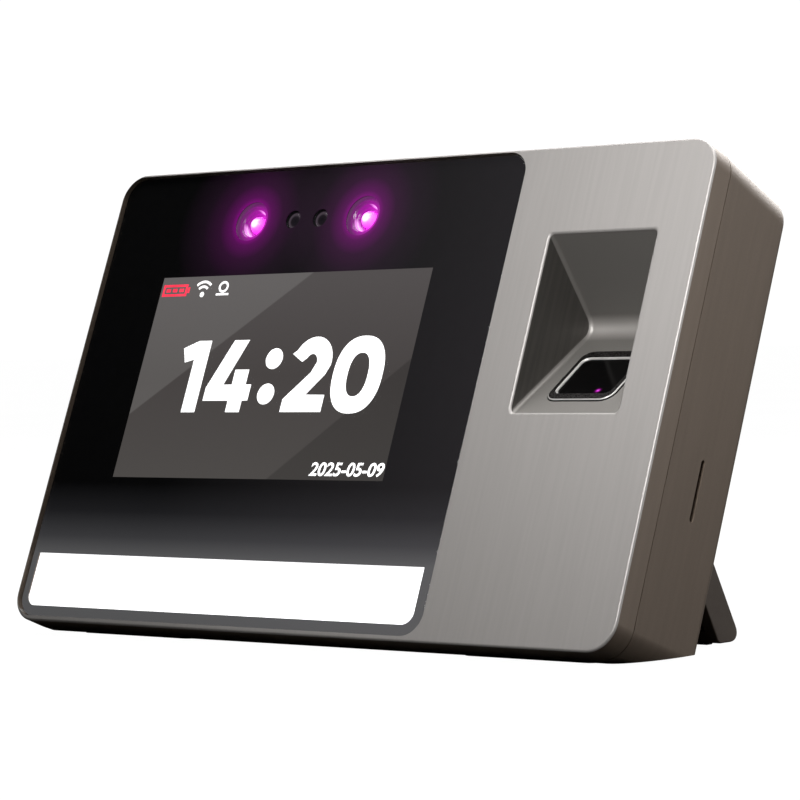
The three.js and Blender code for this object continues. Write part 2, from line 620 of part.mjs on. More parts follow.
function stand() {
  const left = RECESS.left + LEG.side;
  const right = RECESS.right - LEG.side;
  const thick = HINGE.barrel;
  const profile = outline([
    [-thick, footHeight(-thick), 0.8],
    [thick, footHeight(thick), 3.5],
    [thick, thick, thick * 0.99],
    [-thick, thick, thick * 0.99],
  ]);
  const skin = thick - LEG.plate;
  const pocketCount = 3;
  const pitch = (right - left - 2 * LEG.flange + LEG.ribs) / pocketCount;
  const pockets = Array.from({ length: pocketCount }, (_, i) => {
    const start = left + LEG.flange + i * pitch;
    const hollow = outline([
      [-thick - 2, footHeight(-thick - 2) + 3.4],
      [skin, footHeight(skin) + 3.4, 1],
      [skin, -thick - 1, 1],
      [-thick - 2, -thick - 1],
    ]);
    return bar(hollow, start, start + pitch - LEG.ribs);
  });
  const bore = bar(disc(0, 0, HINGE.pin + 0.1), left - 1, left + 5.5, 8);
  const farBore = bar(disc(0, 0, HINGE.pin + 0.1), right - 5.5, right + 1, 8);
  const groove = soleStrip([0.7, 3.6], [-2, 0.6], left + 4, right - 4);
  add('stand_flap', cut(bar(profile, left, right, 4), ...pockets, bore, farBore, groove), MATERIAL.taupe, leg);

  const pad = soleStrip([1, 3.3], [DESK_Z - BASE_Z, GAP], left + 4 + GAP, right - 4 - GAP);
  add('stand_foot_pad', pad, MATERIAL.rubber, leg);

  for (const [hand, wall, out] of [['left', RECESS.left, -1], ['right', RECESS.right, 1]]) {
    const at = (distance) => wall + out * distance;
    const span = (near, far) => [Math.min(at(near), at(far)), Math.max(at(near), at(far))];
    const shaft = bar(disc(HINGE.d, HINGE.v, HINGE.pin), ...span(-6, 2.7), 8);
    const head = bar(disc(HINGE.d, HINGE.v, 2), ...span(2.5, 4), 6);
    add(`hinge_pin_${hand}`, join(shaft, head), MATERIAL.steel);
    const ring = pierced(disc(HINGE.d, HINGE.v, 3.6), disc(HINGE.d, HINGE.v, HINGE.pin + 0.2));
    add(`hinge_washer_${hand}`, bar(ring, ...span(-0.8, -0.2), 8), MATERIAL.blackPlastic);
  }
}

// ---------------------------------------------------------------- assembly

add('front_casing', frontCasing(), MATERIAL.silver);
add('rear_housing', rearHousing(), MATERIAL.taupe);
displaySide();
eyes();
sensor();
mainBoard();
ports();
inside();
stand();
CASE_SCREWS.forEach(({ u, v, seat }, i) => {
  add(`case_screw_${i + 1}`, screw(u, v, 10, seat + 0.2, 1.15, 2.6), MATERIAL.steel);
});
PADS.forEach((pad, i) => {
  const hand = i === 0 ? 'left' : 'right';
  add(`foot_pad_${hand}`, rise(padOutline(pad), DESK_Z, BASE_Z + GAP), MATERIAL.rubber, desk);
});

// the origin is set under the middle of the terminal, on the desk
terminal.updateMatrixWorld(true);
const box = new THREE.Box3().setFromObject(terminal, true);
const middle = box.getCenter(new THREE.Vector3());
for (const group of [face, desk]) {
  group.position.x -= middle.x;
  group.position.y -= middle.y;
  group.position.z -= box.min.z;
}

export default terminal;
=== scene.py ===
"""Looks of a desk-top fingerprint terminal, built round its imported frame.

Pieces are modelled on a bench, in millimetres: u runs across the leaning face from its left edge, d runs
into the body from its front surface and v runs up the face from its lower edge. A finished piece is set
from its bench into the row frame, in metres.
"""

import json
import logging
import math
from collections.abc import Callable, Iterator
from contextlib import contextmanager
from dataclasses import dataclass, field
from enum import Enum

import bmesh
import bpy
from mathutils import Matrix, Vector


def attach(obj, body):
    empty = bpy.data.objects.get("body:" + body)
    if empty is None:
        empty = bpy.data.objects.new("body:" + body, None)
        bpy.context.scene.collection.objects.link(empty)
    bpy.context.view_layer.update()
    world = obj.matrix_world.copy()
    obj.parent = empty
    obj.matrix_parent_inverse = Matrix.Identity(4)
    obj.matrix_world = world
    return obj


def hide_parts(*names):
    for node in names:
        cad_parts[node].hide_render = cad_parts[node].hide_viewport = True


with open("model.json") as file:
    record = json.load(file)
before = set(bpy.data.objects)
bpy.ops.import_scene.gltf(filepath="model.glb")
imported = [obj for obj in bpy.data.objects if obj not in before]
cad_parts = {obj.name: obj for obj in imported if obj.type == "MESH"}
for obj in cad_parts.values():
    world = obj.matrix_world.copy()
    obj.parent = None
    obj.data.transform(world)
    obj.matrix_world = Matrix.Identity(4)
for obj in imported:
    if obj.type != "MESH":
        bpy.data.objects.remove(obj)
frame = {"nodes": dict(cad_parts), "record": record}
log = logging.getLogger("terminal")

MM = 0.001
HANDS = ("left", "right")
Span = tuple[float, float]
Place = tuple[float, float, float]
Colour = tuple[int, int, int]
Outline = list[Span]
Socket = bpy.types.NodeSocket


class Body(Enum):
    """The moving groups of the terminal."""

    TERMINAL = "terminal"
    STAND = "stand"
    KEY = "power_key"


class Slot(Enum):
    """The material slots of the record."""

    SILVER = "silver"
    TAUPE = "taupe"
    COVER_GLASS = "cover_glass"
    BLACK_PRINT = "black_print"
    SCREEN = "screen"
    LIGHT_BAR = "light_bar"
    INFRARED = "infrared"
    DARK_LENS = "dark_lens"
    BLACK_PLASTIC = "black_plastic"
    PLATEN = "platen"
    GUNMETAL = "gunmetal"
    BOARD = "board"
    STEEL = "steel"
    RUBBER = "rubber"
    FOAM = "foam"
    BATTERY = "battery"
    FLEX = "flex"
    CABLE = "cable"


@dataclass(frozen=True)
class Case:
    """The measures that the pieces of the case share; places are (u, v), the hinge's is (d, v)."""

    width: float = 198.0
    height: float = 128.0
    corner: float = 7.5
    seam: float = 6.8
    back: float = 36.0
    wall: float = 2.2
    lean: float = 22.0
    ledge_foot: float = 57.3
    ledge_slope: float = 1.4016
    hinge: Span = (31.55, 45.66)
    hinge_sine: float = 0.779
    jack: Span = (100.0, 66.0)
    data_port: Span = (118.0, 66.0)
    key: Span = (134.0, 66.0)
    pads: Span = (14.0, 144.0)
    pad_length: float = 40.0
    screws: tuple[Place, ...] = (
        (10.0, 118.0, 31.3), (188.0, 118.0, 31.3), (20.0, 28.0, 24.7), (178.0, 28.0, 24.7)
    )


CASE = Case()


def linear(colour: Colour, alpha: float = 1.0) -> tuple[float, float, float, float]:
    """Turns a display colour into a shader colour.

    Args:
        colour: red, green and blue from 0 to 255.
        alpha: the fourth channel.

    Returns:
        The colour as linear light, with its alpha.
    """
    parts = [c / 255 for c in colour]
    light = [p / 12.92 if p <= 0.04045 else ((p + 0.055) / 1.055) ** 2.4 for p in parts]
    return (light[0], light[1], light[2], alpha)


# ---------------------------------------------------------------- benches


@dataclass(frozen=True)
class Bench:
    """A place to model in, and where it stands in the row frame."""

    matrix: Matrix

    def child(self, origin: Place, lean: float) -> "Bench":
        """Stands a bench on this one.

        Args:
            origin: its origin on this bench, in millimetres.
            lean: its turn about the u axis, in degrees.

        Returns:
            The new bench.
        """
        turn = Matrix.Rotation(math.radians(lean), 4, "X")
        return Bench(self.matrix @ Matrix.Translation(Vector(origin) * MM) @ turn)

    def seen_from(self, other: "Bench") -> Matrix:
        """This bench's place on another bench."""
        return other.matrix.inverted() @ self.matrix


def face_bench() -> Bench:
    """Finds the leaning frame of the face from the record and the front casing.

    Returns:
        The bench whose origin is the face's lower left front corner.
    """
    mount = next(m for m in frame["record"]["mounts"] if m["name"] == "glass_face")
    inward = -Vector(mount["axis"])
    turn = Matrix.Rotation(math.atan2(inward.z, inward.y), 4, "X")
    local = [turn.inverted() @ v.co for v in frame["nodes"]["front_casing"].data.vertices]
    corner = Vector([min(p[i] for p in local) for i in range(3)])
    return Bench(Matrix.Translation(turn @ corner) @ turn)


# ---------------------------------------------------------------- recipes and finishes


class Recipe:
    """The nodes of one material."""

    def __init__(self, name: str) -> None:
        """Starts a material with a plain surface."""
        self.material = bpy.data.materials.new(name)
        self.material.use_nodes = True
        self.tree = self.material.node_tree
        self.shader = self.tree.nodes["Principled BSDF"]

    def feed(self, node: bpy.types.Node, key: str | int, value: object) -> None:
        """Links a socket to a node's input, or sets the input to a constant.

        Args:
            node: the node that is fed.
            key: the input's name or number.
            value: an output socket or a constant.
        """
        if isinstance(value, Socket):
            self.tree.links.new(value, node.inputs[key])
        else:
            node.inputs[key].default_value = value

    def node(self, kind: str, inputs: dict[str | int, object], **settings: object) -> bpy.types.Node:
        """Adds a node.

        Args:
            kind: its type without the common beginning.
            inputs: its inputs by name or number.
            settings: its other settings.

        Returns:
            The node.
        """
        made = self.tree.nodes.new("ShaderNode" + kind)
        for key, value in settings.items():
            setattr(made, key, value)
        for key, value in inputs.items():
            self.feed(made, key, value)
        return made

    def surface(self, **inputs: object) -> None:
        """Sets the surface's inputs; an underscore in a name stands for a space."""
        for key, value in inputs.items():
            self.feed(self.shader, key.replace("_", " "), value)

    def on(self, bench: Bench, centre: Place = (0, 0, 0)) -> Socket:
        """Coordinates on a bench, in millimetres from a centre.

        Args:
            bench: the bench that the pattern is laid out on.
            centre: the pattern's middle there.

        Returns:
            The coordinates.
        """
        back = bench.matrix.inverted()
        shift = back.translation / MM - Vector(centre)
        coordinates = self.node("TexCoord", {}).outputs["Object"]
        inputs = {"Vector": coordinates, "Location": shift, "Rotation": back.to_euler()}
        return self.node("Mapping", {**inputs, "Scale": (1 / MM,) * 3}).outputs["Vector"]

    def stretched(self, place: Socket, by: Place) -> Socket:
        """Coordinates with each axis stretched."""
        return self.node("VectorMath", {0: place, 1: by}, operation="MULTIPLY").outputs[0]

    def noise(self, place: Socket, scale: float, detail: float = 2.0) -> Socket:
        """Soft noise of so many patches a millimetre."""
        return self.node("TexNoise", {"Vector": place, "Scale": scale, "Detail": detail}).outputs["Fac"]

    def axis(self, place: Socket, which: str) -> Socket:
        """One coordinate, X, Y or Z."""
        return self.node("SeparateXYZ", {0: place}).outputs[which]

    def along(self, place: Socket, direction: Place) -> Socket:
        """How far a point lies along a direction."""
        return self.node("VectorMath", {0: place, 1: direction}, operation="DOT_PRODUCT").outputs["Value"]

    def far(self, place: Socket) -> Socket:
        """How far a point lies from the pattern's centre."""
        return self.node("VectorMath", {0: place}, operation="LENGTH").outputs["Value"]

    def spread(self, value: Socket, span: Span, to: Span = (0.0, 1.0)) -> Socket:
        """A value's span taken to another span, and held there outside it."""
        inputs = {"Value": value, "From Min": span[0], "From Max": span[1], "To Min": to[0], "To Max": to[1]}
        return self.node("MapRange", inputs).outputs[0]

    def ramp(self, value: Socket, *stops: tuple[float, Colour]) -> Socket:
        """A colour that runs through stops.

        Args:
            value: where on the ramp, from 0 to 1.
            stops: the place and the colour of each stop, in order.

        Returns:
            The colour.
        """
        made = self.node("ValToRGB", {"Fac": value})
        elements = made.color_ramp.elements
        while len(elements) < len(stops):
            elements.new(0.5)
        for element, (position, colour) in zip(elements, stops):
            element.position = position
            element.color = linear(colour)
        return made.outputs["Color"]

    def total(self, *values: Socket) -> Socket:
        """The sum of several colours."""
        whole = values[0]
        for value in values[1:]:
            whole = self.node("VectorMath", {0: whole, 1: value}, operation="ADD").outputs[0]
        return whole

    def times(self, first: Socket, second: Socket | float) -> Socket:
        """The product of two numbers."""
        return self.node("Math", {0: first, 1: second}, operation="MULTIPLY").outputs[0]

    def relief(self, height: Socket, strength: float, depth: float = 0.02) -> None:
        """Raises the surface by a height pattern.

        Args:
            height: the pattern, from 0 to 1.
            strength: how strongly it shows.
            depth: how deep it goes, in millimetres.
        """
        bump = self.node("Bump", {"Height": height, "Strength": strength, "Distance": depth * MM})
        self.surface(Normal=bump.outputs["Normal"])


@dataclass(frozen=True)
class Finish:
    """A surface with a clouded colour, a fine grain and an uneven gloss."""

    name: str
    light: Colour
    dark: Colour
    bench: Bench
    rough: Span = (0.4, 0.5)
    metallic: float = 0.0
    specular: float = 0.5
    coat: float = 0.0
    cloud: float = 0.4
    grain: float = 5.0
    relief: float = 0.15
    stretch: Place = (1.0, 1.0, 1.0)

    def build(self, recipe: Recipe) -> None:
        """Lays the colour, gloss and grain."""
        place = recipe.on(self.bench)
        cloud = recipe.noise(recipe.stretched(place, self.stretch), self.cloud, 3.0)
        grain = recipe.noise(place, self.grain)
        recipe.surface(
            Base_Color=recipe.ramp(cloud, (0.35, self.dark), (0.65, self.light)),
            Roughness=recipe.spread(grain, (0.3, 0.7), self.rough),
            Metallic=self.metallic,
        )
        recipe.feed(recipe.shader, "Specular IOR Level", self.specular)
        recipe.feed(recipe.shader, "Coat Weight", self.coat)
        recipe.relief(grain, self.relief)

    def material(self) -> bpy.types.Material:
        """The finish as a material, made once."""
        known = bpy.data.materials.get(self.name)
        if known is not None:
            return known
        recipe = Recipe(self.name)
        self.build(recipe)
        return recipe.material


@dataclass(frozen=True)
class ClearGlass(Finish):
    """Clear polished glass with faint smears."""

    def build(self, recipe: Recipe) -> None:
        """Mixes what is seen through the pane with what it mirrors."""
        smear = recipe.noise(recipe.stretched(recipe.on(self.bench), (0.3, 1, 0.12)), self.cloud, 4.0)
        mirror = recipe.node("BsdfAnisotropic", {"Roughness": recipe.spread(smear, (0.35, 0.7), self.rough)})
        open_pane = recipe.node("BsdfTransparent", {})
        slant = recipe.node("LayerWeight", {"Blend": 0.5}).outputs["Facing"]
        steep = recipe.node("Math", {0: slant, 1: 4.0}, operation="POWER").outputs[0]
        share = recipe.spread(steep, (0.0, 1.0), (0.012, 0.9))
        mixed = recipe.node("MixShader", {0: share, 1: open_pane.outputs[0], 2: mirror.outputs[0]})
        recipe.tree.links.new(mixed.outputs[0], recipe.tree.nodes["Material Output"].inputs["Surface"])


@dataclass(frozen=True)
class WellPaintValleyHighlight(Finish):
    """Paint in a well, with a painted highlight along its valley."""

    valley: Span = (19.0, 87.4)
    reach: float = 3.4

    def build(self, recipe: Recipe) -> None:
        """Adds the painted highlight to the plain paint."""
        super().build(recipe)
        place = recipe.stretched(recipe.on(self.bench, (0, self.valley[0], self.valley[1])), (0, 1, 1))
        near = recipe.spread(recipe.far(place), (0.4, self.reach))
        # painted highlight: the colour lightens towards the line of the valley
        painted_light_stops = ((0.0, (190, 186, 182)), (0.5, (152, 148, 144)), (1.0, self.dark))
        recipe.surface(Base_Color=recipe.ramp(near, *painted_light_stops))


@dataclass(frozen=True)
class PrintWithPaintedGlow(Finish):
    """Black print behind the glass, with the glow of the lamps and of the light bar painted on it, and a
    painted reflection that lightens it to the right.
    """

    lamps: tuple[Span, ...] = ()
    strip_top: float = 0.0
    width: float = 1.0

    def build(self, recipe: Recipe) -> None:
        """Adds the painted glow and the painted reflection to the plain print."""
        super().build(recipe)
        place = recipe.on(self.bench)
        glows = []
        # painted glow: a purple halo fading out round each lamp
        for u, v in self.lamps:
            away = recipe.far(recipe.on(self.bench, (u, 0, v)))
            near = recipe.spread(away, (0.0, 26.0))
            glows.append(recipe.ramp(
                near,
                (0.0, (170, 10, 165)),
                (0.2, (128, 6, 124)),
                (0.27, (84, 12, 82)),
                (0.42, (46, 12, 45)),
                (0.65, (22, 8, 22)),
                (1.0, (0, 0, 0)),
            ))
        # painted glow of the light bar, fading out above its top edge
        height = recipe.spread(recipe.axis(place, "Z"), (self.strip_top, self.strip_top + 20))
        painted_light_stops = ((0.0, (84, 84, 85)), (0.25, (56, 56, 58)), (0.6, (26, 26, 28)), (1.0, (0, 0, 0)))
        glows.append(recipe.ramp(height, *painted_light_stops))
        # painted reflection: the print grows lighter towards the right
        across = recipe.spread(recipe.axis(place, "X"), (0.3 * self.width, self.width))
        glows.append(recipe.ramp(across, (0.0, (0, 0, 0)), (1.0, (34, 32, 34))))
        recipe.surface(Emission_Color=recipe.total(*glows), Emission_Strength=1.0)


@dataclass(frozen=True)
class LitScreen(Finish):
    """A lit display, its light stronger along one slanting band and weaker past another."""

    upper: tuple[Span, float] = ((0.0, 1.0), 0.0)
    lower: tuple[Span, float] = ((0.0, 1.0), 0.0)
    height: Span = (0.0, 1.0)

    def build(self, recipe: Recipe) -> None:
        """Lights the panel behind its plain surface."""
        super().build(recipe)
        place = recipe.on(self.bench)
        rise = recipe.spread(recipe.axis(place, "Z"), self.height)
        base = recipe.ramp(rise, (0.0, (78, 75, 73)), (0.5, (72, 68, 67)), (1.0, (84, 80, 80)))
        bands = []
        for ((across, up), start), colour in ((self.upper, (60, 60, 59)), (self.lower, (0, 0, 0))):
            reach = recipe.along(place, (across, 0, up))
            bands.append((recipe.spread(reach, (start - 0.25, start + 0.25)), colour))
        lit = recipe.ramp(bands[0][0], (0.0, (0, 0, 0)), (1.0, bands[0][1]))
        shade = recipe.spread(bands[1][0], (0.0, 1.0), (1.0, 0.72))
        pixels = recipe.spread(recipe.noise(place, 8.0), (0.2, 0.8), (0.95, 1.05))
        inputs = {0: recipe.total(base, lit), 3: recipe.times(shade, pixels)}
        glow = recipe.node("VectorMath", inputs, operation="SCALE")
        recipe.surface(Emission_Color=glow.outputs[0], Emission_Strength=1.0)


@dataclass(frozen=True)
class Glow(Finish):
    """A surface that shines, a little unevenly."""

    strength: float = 1.0

    def build(self, recipe: Recipe) -> None:
        """Adds the light to the plain surface."""
        super().build(recipe)
        cloud = recipe.noise(recipe.on(self.bench), self.cloud, 1.0)
        recipe.surface(Emission_Color=recipe.ramp(cloud, (0.3, self.dark), (0.7, self.light)))
        recipe.surface(Emission_Strength=self.strength)


@dataclass(frozen=True)
class SpotGlow(Finish):
    """A surface with light that fades out round one point."""

    centre: Place = (0.0, 0.0, 0.0)
    reach: float = 1.0
    stops: tuple[tuple[float, Colour], ...] = ()
    strength: float = 1.0

    def build(self, recipe: Recipe) -> None:
        """Adds the spot to the plain surface."""
        super().build(recipe)
        near = recipe.spread(recipe.far(recipe.on(self.bench, self.centre)), (0.0, self.reach))
        recipe.surface(Emission_Color=recipe.ramp(near, *self.stops), Emission_Strength=self.strength)


@dataclass(frozen=True)
class CupPaintedGlow(SpotGlow):
    """The cup round a lamp, with the lamp's light painted on it and a painted highlight at its upper right
    and its lower left.
    """

    axis: Span = (0.0, 0.0)
    band: Span = (3.35, 3.75)

    def build(self, recipe: Recipe) -> None:
        """Adds the painted highlights to the painted, fading light."""
        super().build(recipe)
        glow = recipe.shader.inputs["Emission Color"].links[0].from_socket
        place = recipe.stretched(recipe.on(self.bench, (self.axis[0], 0, self.axis[1])), (1, 0, 1))
        away = recipe.far(place)
        inner = recipe.spread(away, (self.band[0] - 0.2, self.band[0] + 0.1))
        outer = recipe.spread(away, (self.band[1] + 0.2, self.band[1] - 0.1))
        ring = recipe.times(inner, outer)
        # painted highlights: two bright arcs on the cup's ring
        glints = []
        for direction, start in (((0.6, 0, 0.8), 2.9), ((-0.75, 0, -0.66), 2.6)):
            arc_part = recipe.spread(recipe.along(place, direction), (start, start + 0.7))
            glints.append(recipe.ramp(recipe.times(ring, arc_part), (0.0, (0, 0, 0)), (1.0, (250, 190, 250))))
        recipe.surface(Emission_Color=recipe.total(glow, *glints))


@dataclass(frozen=True)
class Traces(Finish):
    """A circuit board: solder mask with tracks and pads under it."""

    def build(self, recipe: Recipe) -> None:
        """Lays the tracks over the plain board."""
        super().build(recipe)
        place = recipe.on(self.bench)
        cells = recipe.node("TexVoronoi", {"Vector": place, "Scale": 0.45}, distance="CHEBYCHEV")
        tracks = recipe.spread(cells.outputs["Distance"], (0.46, 0.5))
        pads = recipe.spread(cells.outputs["Distance"], (0.16, 0.1))
        drawn = recipe.node("Math", {0: tracks, 1: pads}, operation="MAXIMUM").outputs[0]
        colours = ((0.0, self.dark), (0.6, self.light), (1.0, (150, 140, 90)))
        recipe.surface(Base_Color=recipe.ramp(drawn, *colours))


# ---------------------------------------------------------------- work on the bench

End = Callable[[Vector, Vector], bool]


class Work:
    """One mesh on a bench, shaped with Blender's own tools. Sizes are millimetres."""

    def __init__(self, name: str) -> None:
        """Takes up the object that was just added."""
        self.obj = bpy.context.object
        self.obj.name = name
        self.obj.data.name = name
        self.apply()

    @classmethod
    def block(cls, name: str, u: Span, d: Span, v: Span) -> "Work":
        """Starts from a block between two values of u, d and v."""
        bpy.ops.object.select_all(action="DESELECT")
        low, high = Vector((u[0], d[0], v[0])), Vector((u[1], d[1], v[1]))
        bpy.ops.mesh.primitive_cube_add(size=1, location=(low + high) / 2 * MM, scale=(high - low) * MM)
        return cls(name)

    @classmethod
    def bar(cls, name: str, middle: Vector, radius: float, length: float, turn: Place, sides: int) -> "Work":
        """Starts from a round bar about its middle, turned from upright."""
        bpy.ops.object.select_all(action="DESELECT")
        bpy.ops.mesh.primitive_cylinder_add(
            vertices=sides, radius=radius * MM, depth=length * MM, location=middle * MM, rotation=turn
        )
        return cls(name)

    @classmethod
    def rod(cls, name: str, centre: Span, radius: float, d: Span, sides: int = 48) -> "Work":
        """Starts from a round rod along the depth, about a centre (u, v)."""
        middle = Vector((centre[0], (d[0] + d[1]) / 2, centre[1]))
        return cls.bar(name, middle, radius, d[1] - d[0], (math.pi / 2, 0, 0), sides)

    @classmethod
    def crossbar(cls, name: str, u: Span, centre: Span, radius: float, sides: int = 32) -> "Work":
        """Starts from a round bar across the face, about a centre (d, v)."""
        middle = Vector(((u[0] + u[1]) / 2, centre[0], centre[1]))
        return cls.bar(name, middle, radius, u[1] - u[0], (0, math.pi / 2, 0), sides)

    @classmethod
    def turned(cls, name: str, centre: Span, stations: list[Span], sides: int = 48) -> "Work":
        """Turns a piece about the depth axis, by drawing a ring out from station to station.

        Args:
            name: the piece's name.
            centre: the axis, as (u, v).
            stations: radius and depth of each ring; a radius of 0 closes the piece, and a last station equal
                to the first one closes a ring.
            sides: how many sides the piece has round its axis.

        Returns:
            The turned piece.
        """
        bpy.ops.object.select_all(action="DESELECT")
        radius, depth = stations[0]
        closed = stations[-1] == stations[0]
        bpy.ops.mesh.primitive_circle_add(
            vertices=sides,
            radius=radius * MM,
            fill_type="NOTHING" if closed else "NGON",
            location=Vector((centre[0], depth, centre[1])) * MM,
            rotation=(math.pi / 2, 0, 0),
        )
        work = cls(name)
        with work.editing("EDGE"):
            bpy.ops.mesh.select_all(action="SELECT")
            for next_radius, next_depth in stations[1:]:
                step = (0, (next_depth - depth) * MM, 0)
                bpy.ops.mesh.extrude_edges_move(TRANSFORM_OT_translate={"value": step})
                share = max(next_radius, 1e-6) / radius
                middle = Vector((centre[0], next_depth, centre[1])) * MM
                bpy.ops.transform.resize(value=(share, share, share), center_override=middle)
                radius, depth = max(next_radius, 1e-6), next_depth
            if not closed and stations[-1][0] > 0:
                bpy.ops.mesh.edge_face_add()
        work.seal()
        return work

    @classmethod
    def cut_out(cls, name: str, outlines: list[Outline], depth: float, thick: float) -> "Work":
        """Cuts a thin flat piece to outlines.

        Args:
            name: the piece's name.
            outlines: closed outlines in (u, v); one inside another is a hole.
            depth: the middle of its thickness.
            thick: its thickness.

        Returns:
            The flat piece.
        """
        data = bpy.data.curves.new(name, "CURVE")
        data.dimensions = "2D"
        data.fill_mode = "BOTH"
        data.extrude = thick / 2 * MM
        for outline in outlines:
            spline = data.splines.new("POLY")
            spline.points.add(len(outline) - 1)
            for point, (u, v) in zip(spline.points, outline):
                point.co = (u * MM, v * MM, 0, 1)
            spline.use_cyclic_u = True
        obj = bpy.data.objects.new(name, data)
        bpy.context.scene.collection.objects.link(obj)
        return cls.from_flat(obj, depth)

    @classmethod
    def lettered(cls, name: str, text: str, u: Span, v: Span, depth: float, thick: float) -> "Work":
        """Cuts a row of figures that fills a box.

        Args:
            name: the piece's name.
            text: the figures.
            u: the box across the face.
            v: the box up the face.
            depth: the middle of the piece's thickness.
            thick: its thickness.

        Returns:
            The row of figures.
        """
        data = bpy.data.curves.new(name, "FONT")
        data.body = text
        data.size = (v[1] - v[0]) * MM
        data.offset = 0.02 * data.size
        data.shear = 0.12
        data.extrude = thick / 2 * MM
        obj = bpy.data.objects.new(name, data)
        bpy.context.scene.collection.objects.link(obj)
        work = cls.from_flat(obj, depth)
        places = [vertex.co / MM for vertex in work.obj.data.vertices]
        low = Vector([min(p[i] for p in places) for i in range(3)])
        high = Vector([max(p[i] for p in places) for i in range(3)])
        scale = Vector(((u[1] - u[0]) / (high.x - low.x), 1, (v[1] - v[0]) / (high.z - low.z)))
        shift = Vector((u[0] - low.x * scale.x, 0, v[0] - low.z * scale.z)) * MM
        return work.moved(Matrix.Translation(shift) @ Matrix.Diagonal((*scale, 1)))

    @classmethod
    def from_flat(cls, obj: bpy.types.Object, depth: float) -> "Work":
        """Turns a flat curve or text into a mesh that stands on the face at a depth."""
        bpy.ops.object.select_all(action="DESELECT")
        bpy.context.view_layer.objects.active = obj
        obj.select_set(True)
        bpy.ops.object.convert(target="MESH")
        bpy.context.object.rotation_euler.x = math.pi / 2
        bpy.context.object.location.y = depth * MM
        work = cls(obj.name)
        work.seal()
        return work

    def activate(self) -> None:
        """Selects this piece alone."""
        bpy.ops.object.select_all(action="DESELECT")
        bpy.context.view_layer.objects.active = self.obj
        self.obj.select_set(True)

    def apply(self) -> None:
        """Puts the piece's place into its mesh."""
        self.activate()
        bpy.ops.object.transform_apply(location=True, rotation=True, scale=True)

    def moved(self, matrix: Matrix) -> "Work":
        """Moves the piece, and puts the move into its mesh."""
        self.obj.matrix_world = matrix
        self.apply()
        return self

    @contextmanager
    def editing(self, kind: str) -> Iterator[None]:
        """Edit mode with nothing selected.

        Args:
            kind: what is picked, VERT, EDGE or FACE.

        Yields:
            Nothing.
        """
        self.activate()
        bpy.ops.object.mode_set(mode="EDIT")
        bpy.ops.mesh.select_mode(type=kind)
        bpy.ops.mesh.select_all(action="DESELECT")
        yield
        bpy.ops.object.mode_set(mode="OBJECT")

    def pick_edges(self, test: End) -> None:
        """Selects the edges whose two ends, in millimetres, pass a test."""
        mesh = bmesh.from_edit_mesh(self.obj.data)
        found = [e for e in mesh.edges if test(e.verts[0].co / MM, e.verts[1].co / MM)]
        if not found:
            raise ValueError(f"{self.obj.name} has no such edge")
        for edge in found:
            edge.select_set(True)
        bmesh.update_edit_mesh(self.obj.data)

    def pick_faces(self, test: End) -> None:
        """Selects the faces whose middle, in millimetres, and normal pass a test."""
        mesh = bmesh.from_edit_mesh(self.obj.data)
        found = [f for f in mesh.faces if test(f.calc_center_median() / MM, f.normal)]
        if not found:
            raise ValueError(f"{self.obj.name} has no such face")
        for face in found:
            face.select_set(True)
        bmesh.update_edit_mesh(self.obj.data)

    def seal(self) -> None:
        """Merges doubled points and turns every face outwards."""
        with self.editing("VERT"):
            bpy.ops.mesh.select_all(action="SELECT")
            bpy.ops.mesh.remove_doubles(threshold=2e-6)
            bpy.ops.mesh.normals_make_consistent(inside=False)

    def bevel(self, test: End, width: float, segments: int = 4) -> "Work":
        """Rounds the edges that pass a test.

        Args:
            test: takes the two ends of an edge.
            width: how far the rounding reaches along each face.
            segments: how many facets it has.

        Returns:
            This piece.
        """
        with self.editing("EDGE"):
            self.pick_edges(test)
            bpy.ops.mesh.bevel(offset=width * MM, offset_type="OFFSET", segments=segments, affect="EDGES")
        return self

    def grow_face(self, test: End, steps: list[Span], size: Span, middle: Span) -> "Work":
        """Draws a face that looks forward out through steps, growing or shrinking it.

        Args:
            test: takes the middle and the normal of a face.
            steps: depth and growth of each step; growth is how far it stands outside the first outline.
            size: the face's first width and height.
            middle: its middle as (u, v).

        Returns:
            This piece.
        """
        with self.editing("FACE"):
            self.pick_faces(test)
            mesh = bmesh.from_edit_mesh(self.obj.data)
            depth = next(f for f in mesh.faces if f.select).calc_center_median().y / MM
            grown = 0.0
            for to, growth in steps:
                step = (0, (to - depth) * MM, 0)
                bpy.ops.mesh.extrude_region_move(TRANSFORM_OT_translate={"value": step})
                wide = (size[0] + 2 * growth) / (size[0] + 2 * grown)
                high = (size[1] + 2 * growth) / (size[1] + 2 * grown)
                centre = Vector((middle[0], to, middle[1])) * MM
                bpy.ops.transform.resize(value=(wide, 1, high), center_override=centre)
                depth, grown = to, growth
        return self

    def slice(self, point: Place, normal: Vector) -> "Work":
        """Cuts away what lies behind a plane, and closes the cut.

        Args:
            point: a point on the plane.
            normal: the side that is kept.

        Returns:
            This piece.
        """
        with self.editing("FACE"):
            bpy.ops.mesh.select_all(action="SELECT")
            bpy.ops.mesh.bisect(plane_co=Vector(point) * MM, plane_no=normal, use_fill=True, clear_inner=True)
        return self

    def discard(self) -> None:
        """Throws this piece away."""
        bpy.data.objects.remove(self.obj, do_unlink=True)

    def combine(self, other: "Work", operation: str) -> None:
        """Joins another piece to this one or cuts it away, and uses it up."""
        self.activate()
        modifier = self.obj.modifiers.new("combine", "BOOLEAN")
        modifier.operation = operation
        modifier.solver = "EXACT"
        modifier.object = other.obj
        bpy.ops.object.modifier_apply(modifier=modifier.name)
        other.discard()

    def cut(self, *tools: "Work") -> "Work":
        """Cuts the shapes of tools away."""
        for tool in tools:
            self.combine(tool, "DIFFERENCE")
        return self

    def join(self, *others: "Work") -> "Work":
        """Makes this piece and others one closed piece."""
        for other in others:
            self.combine(other, "UNION")
        return self

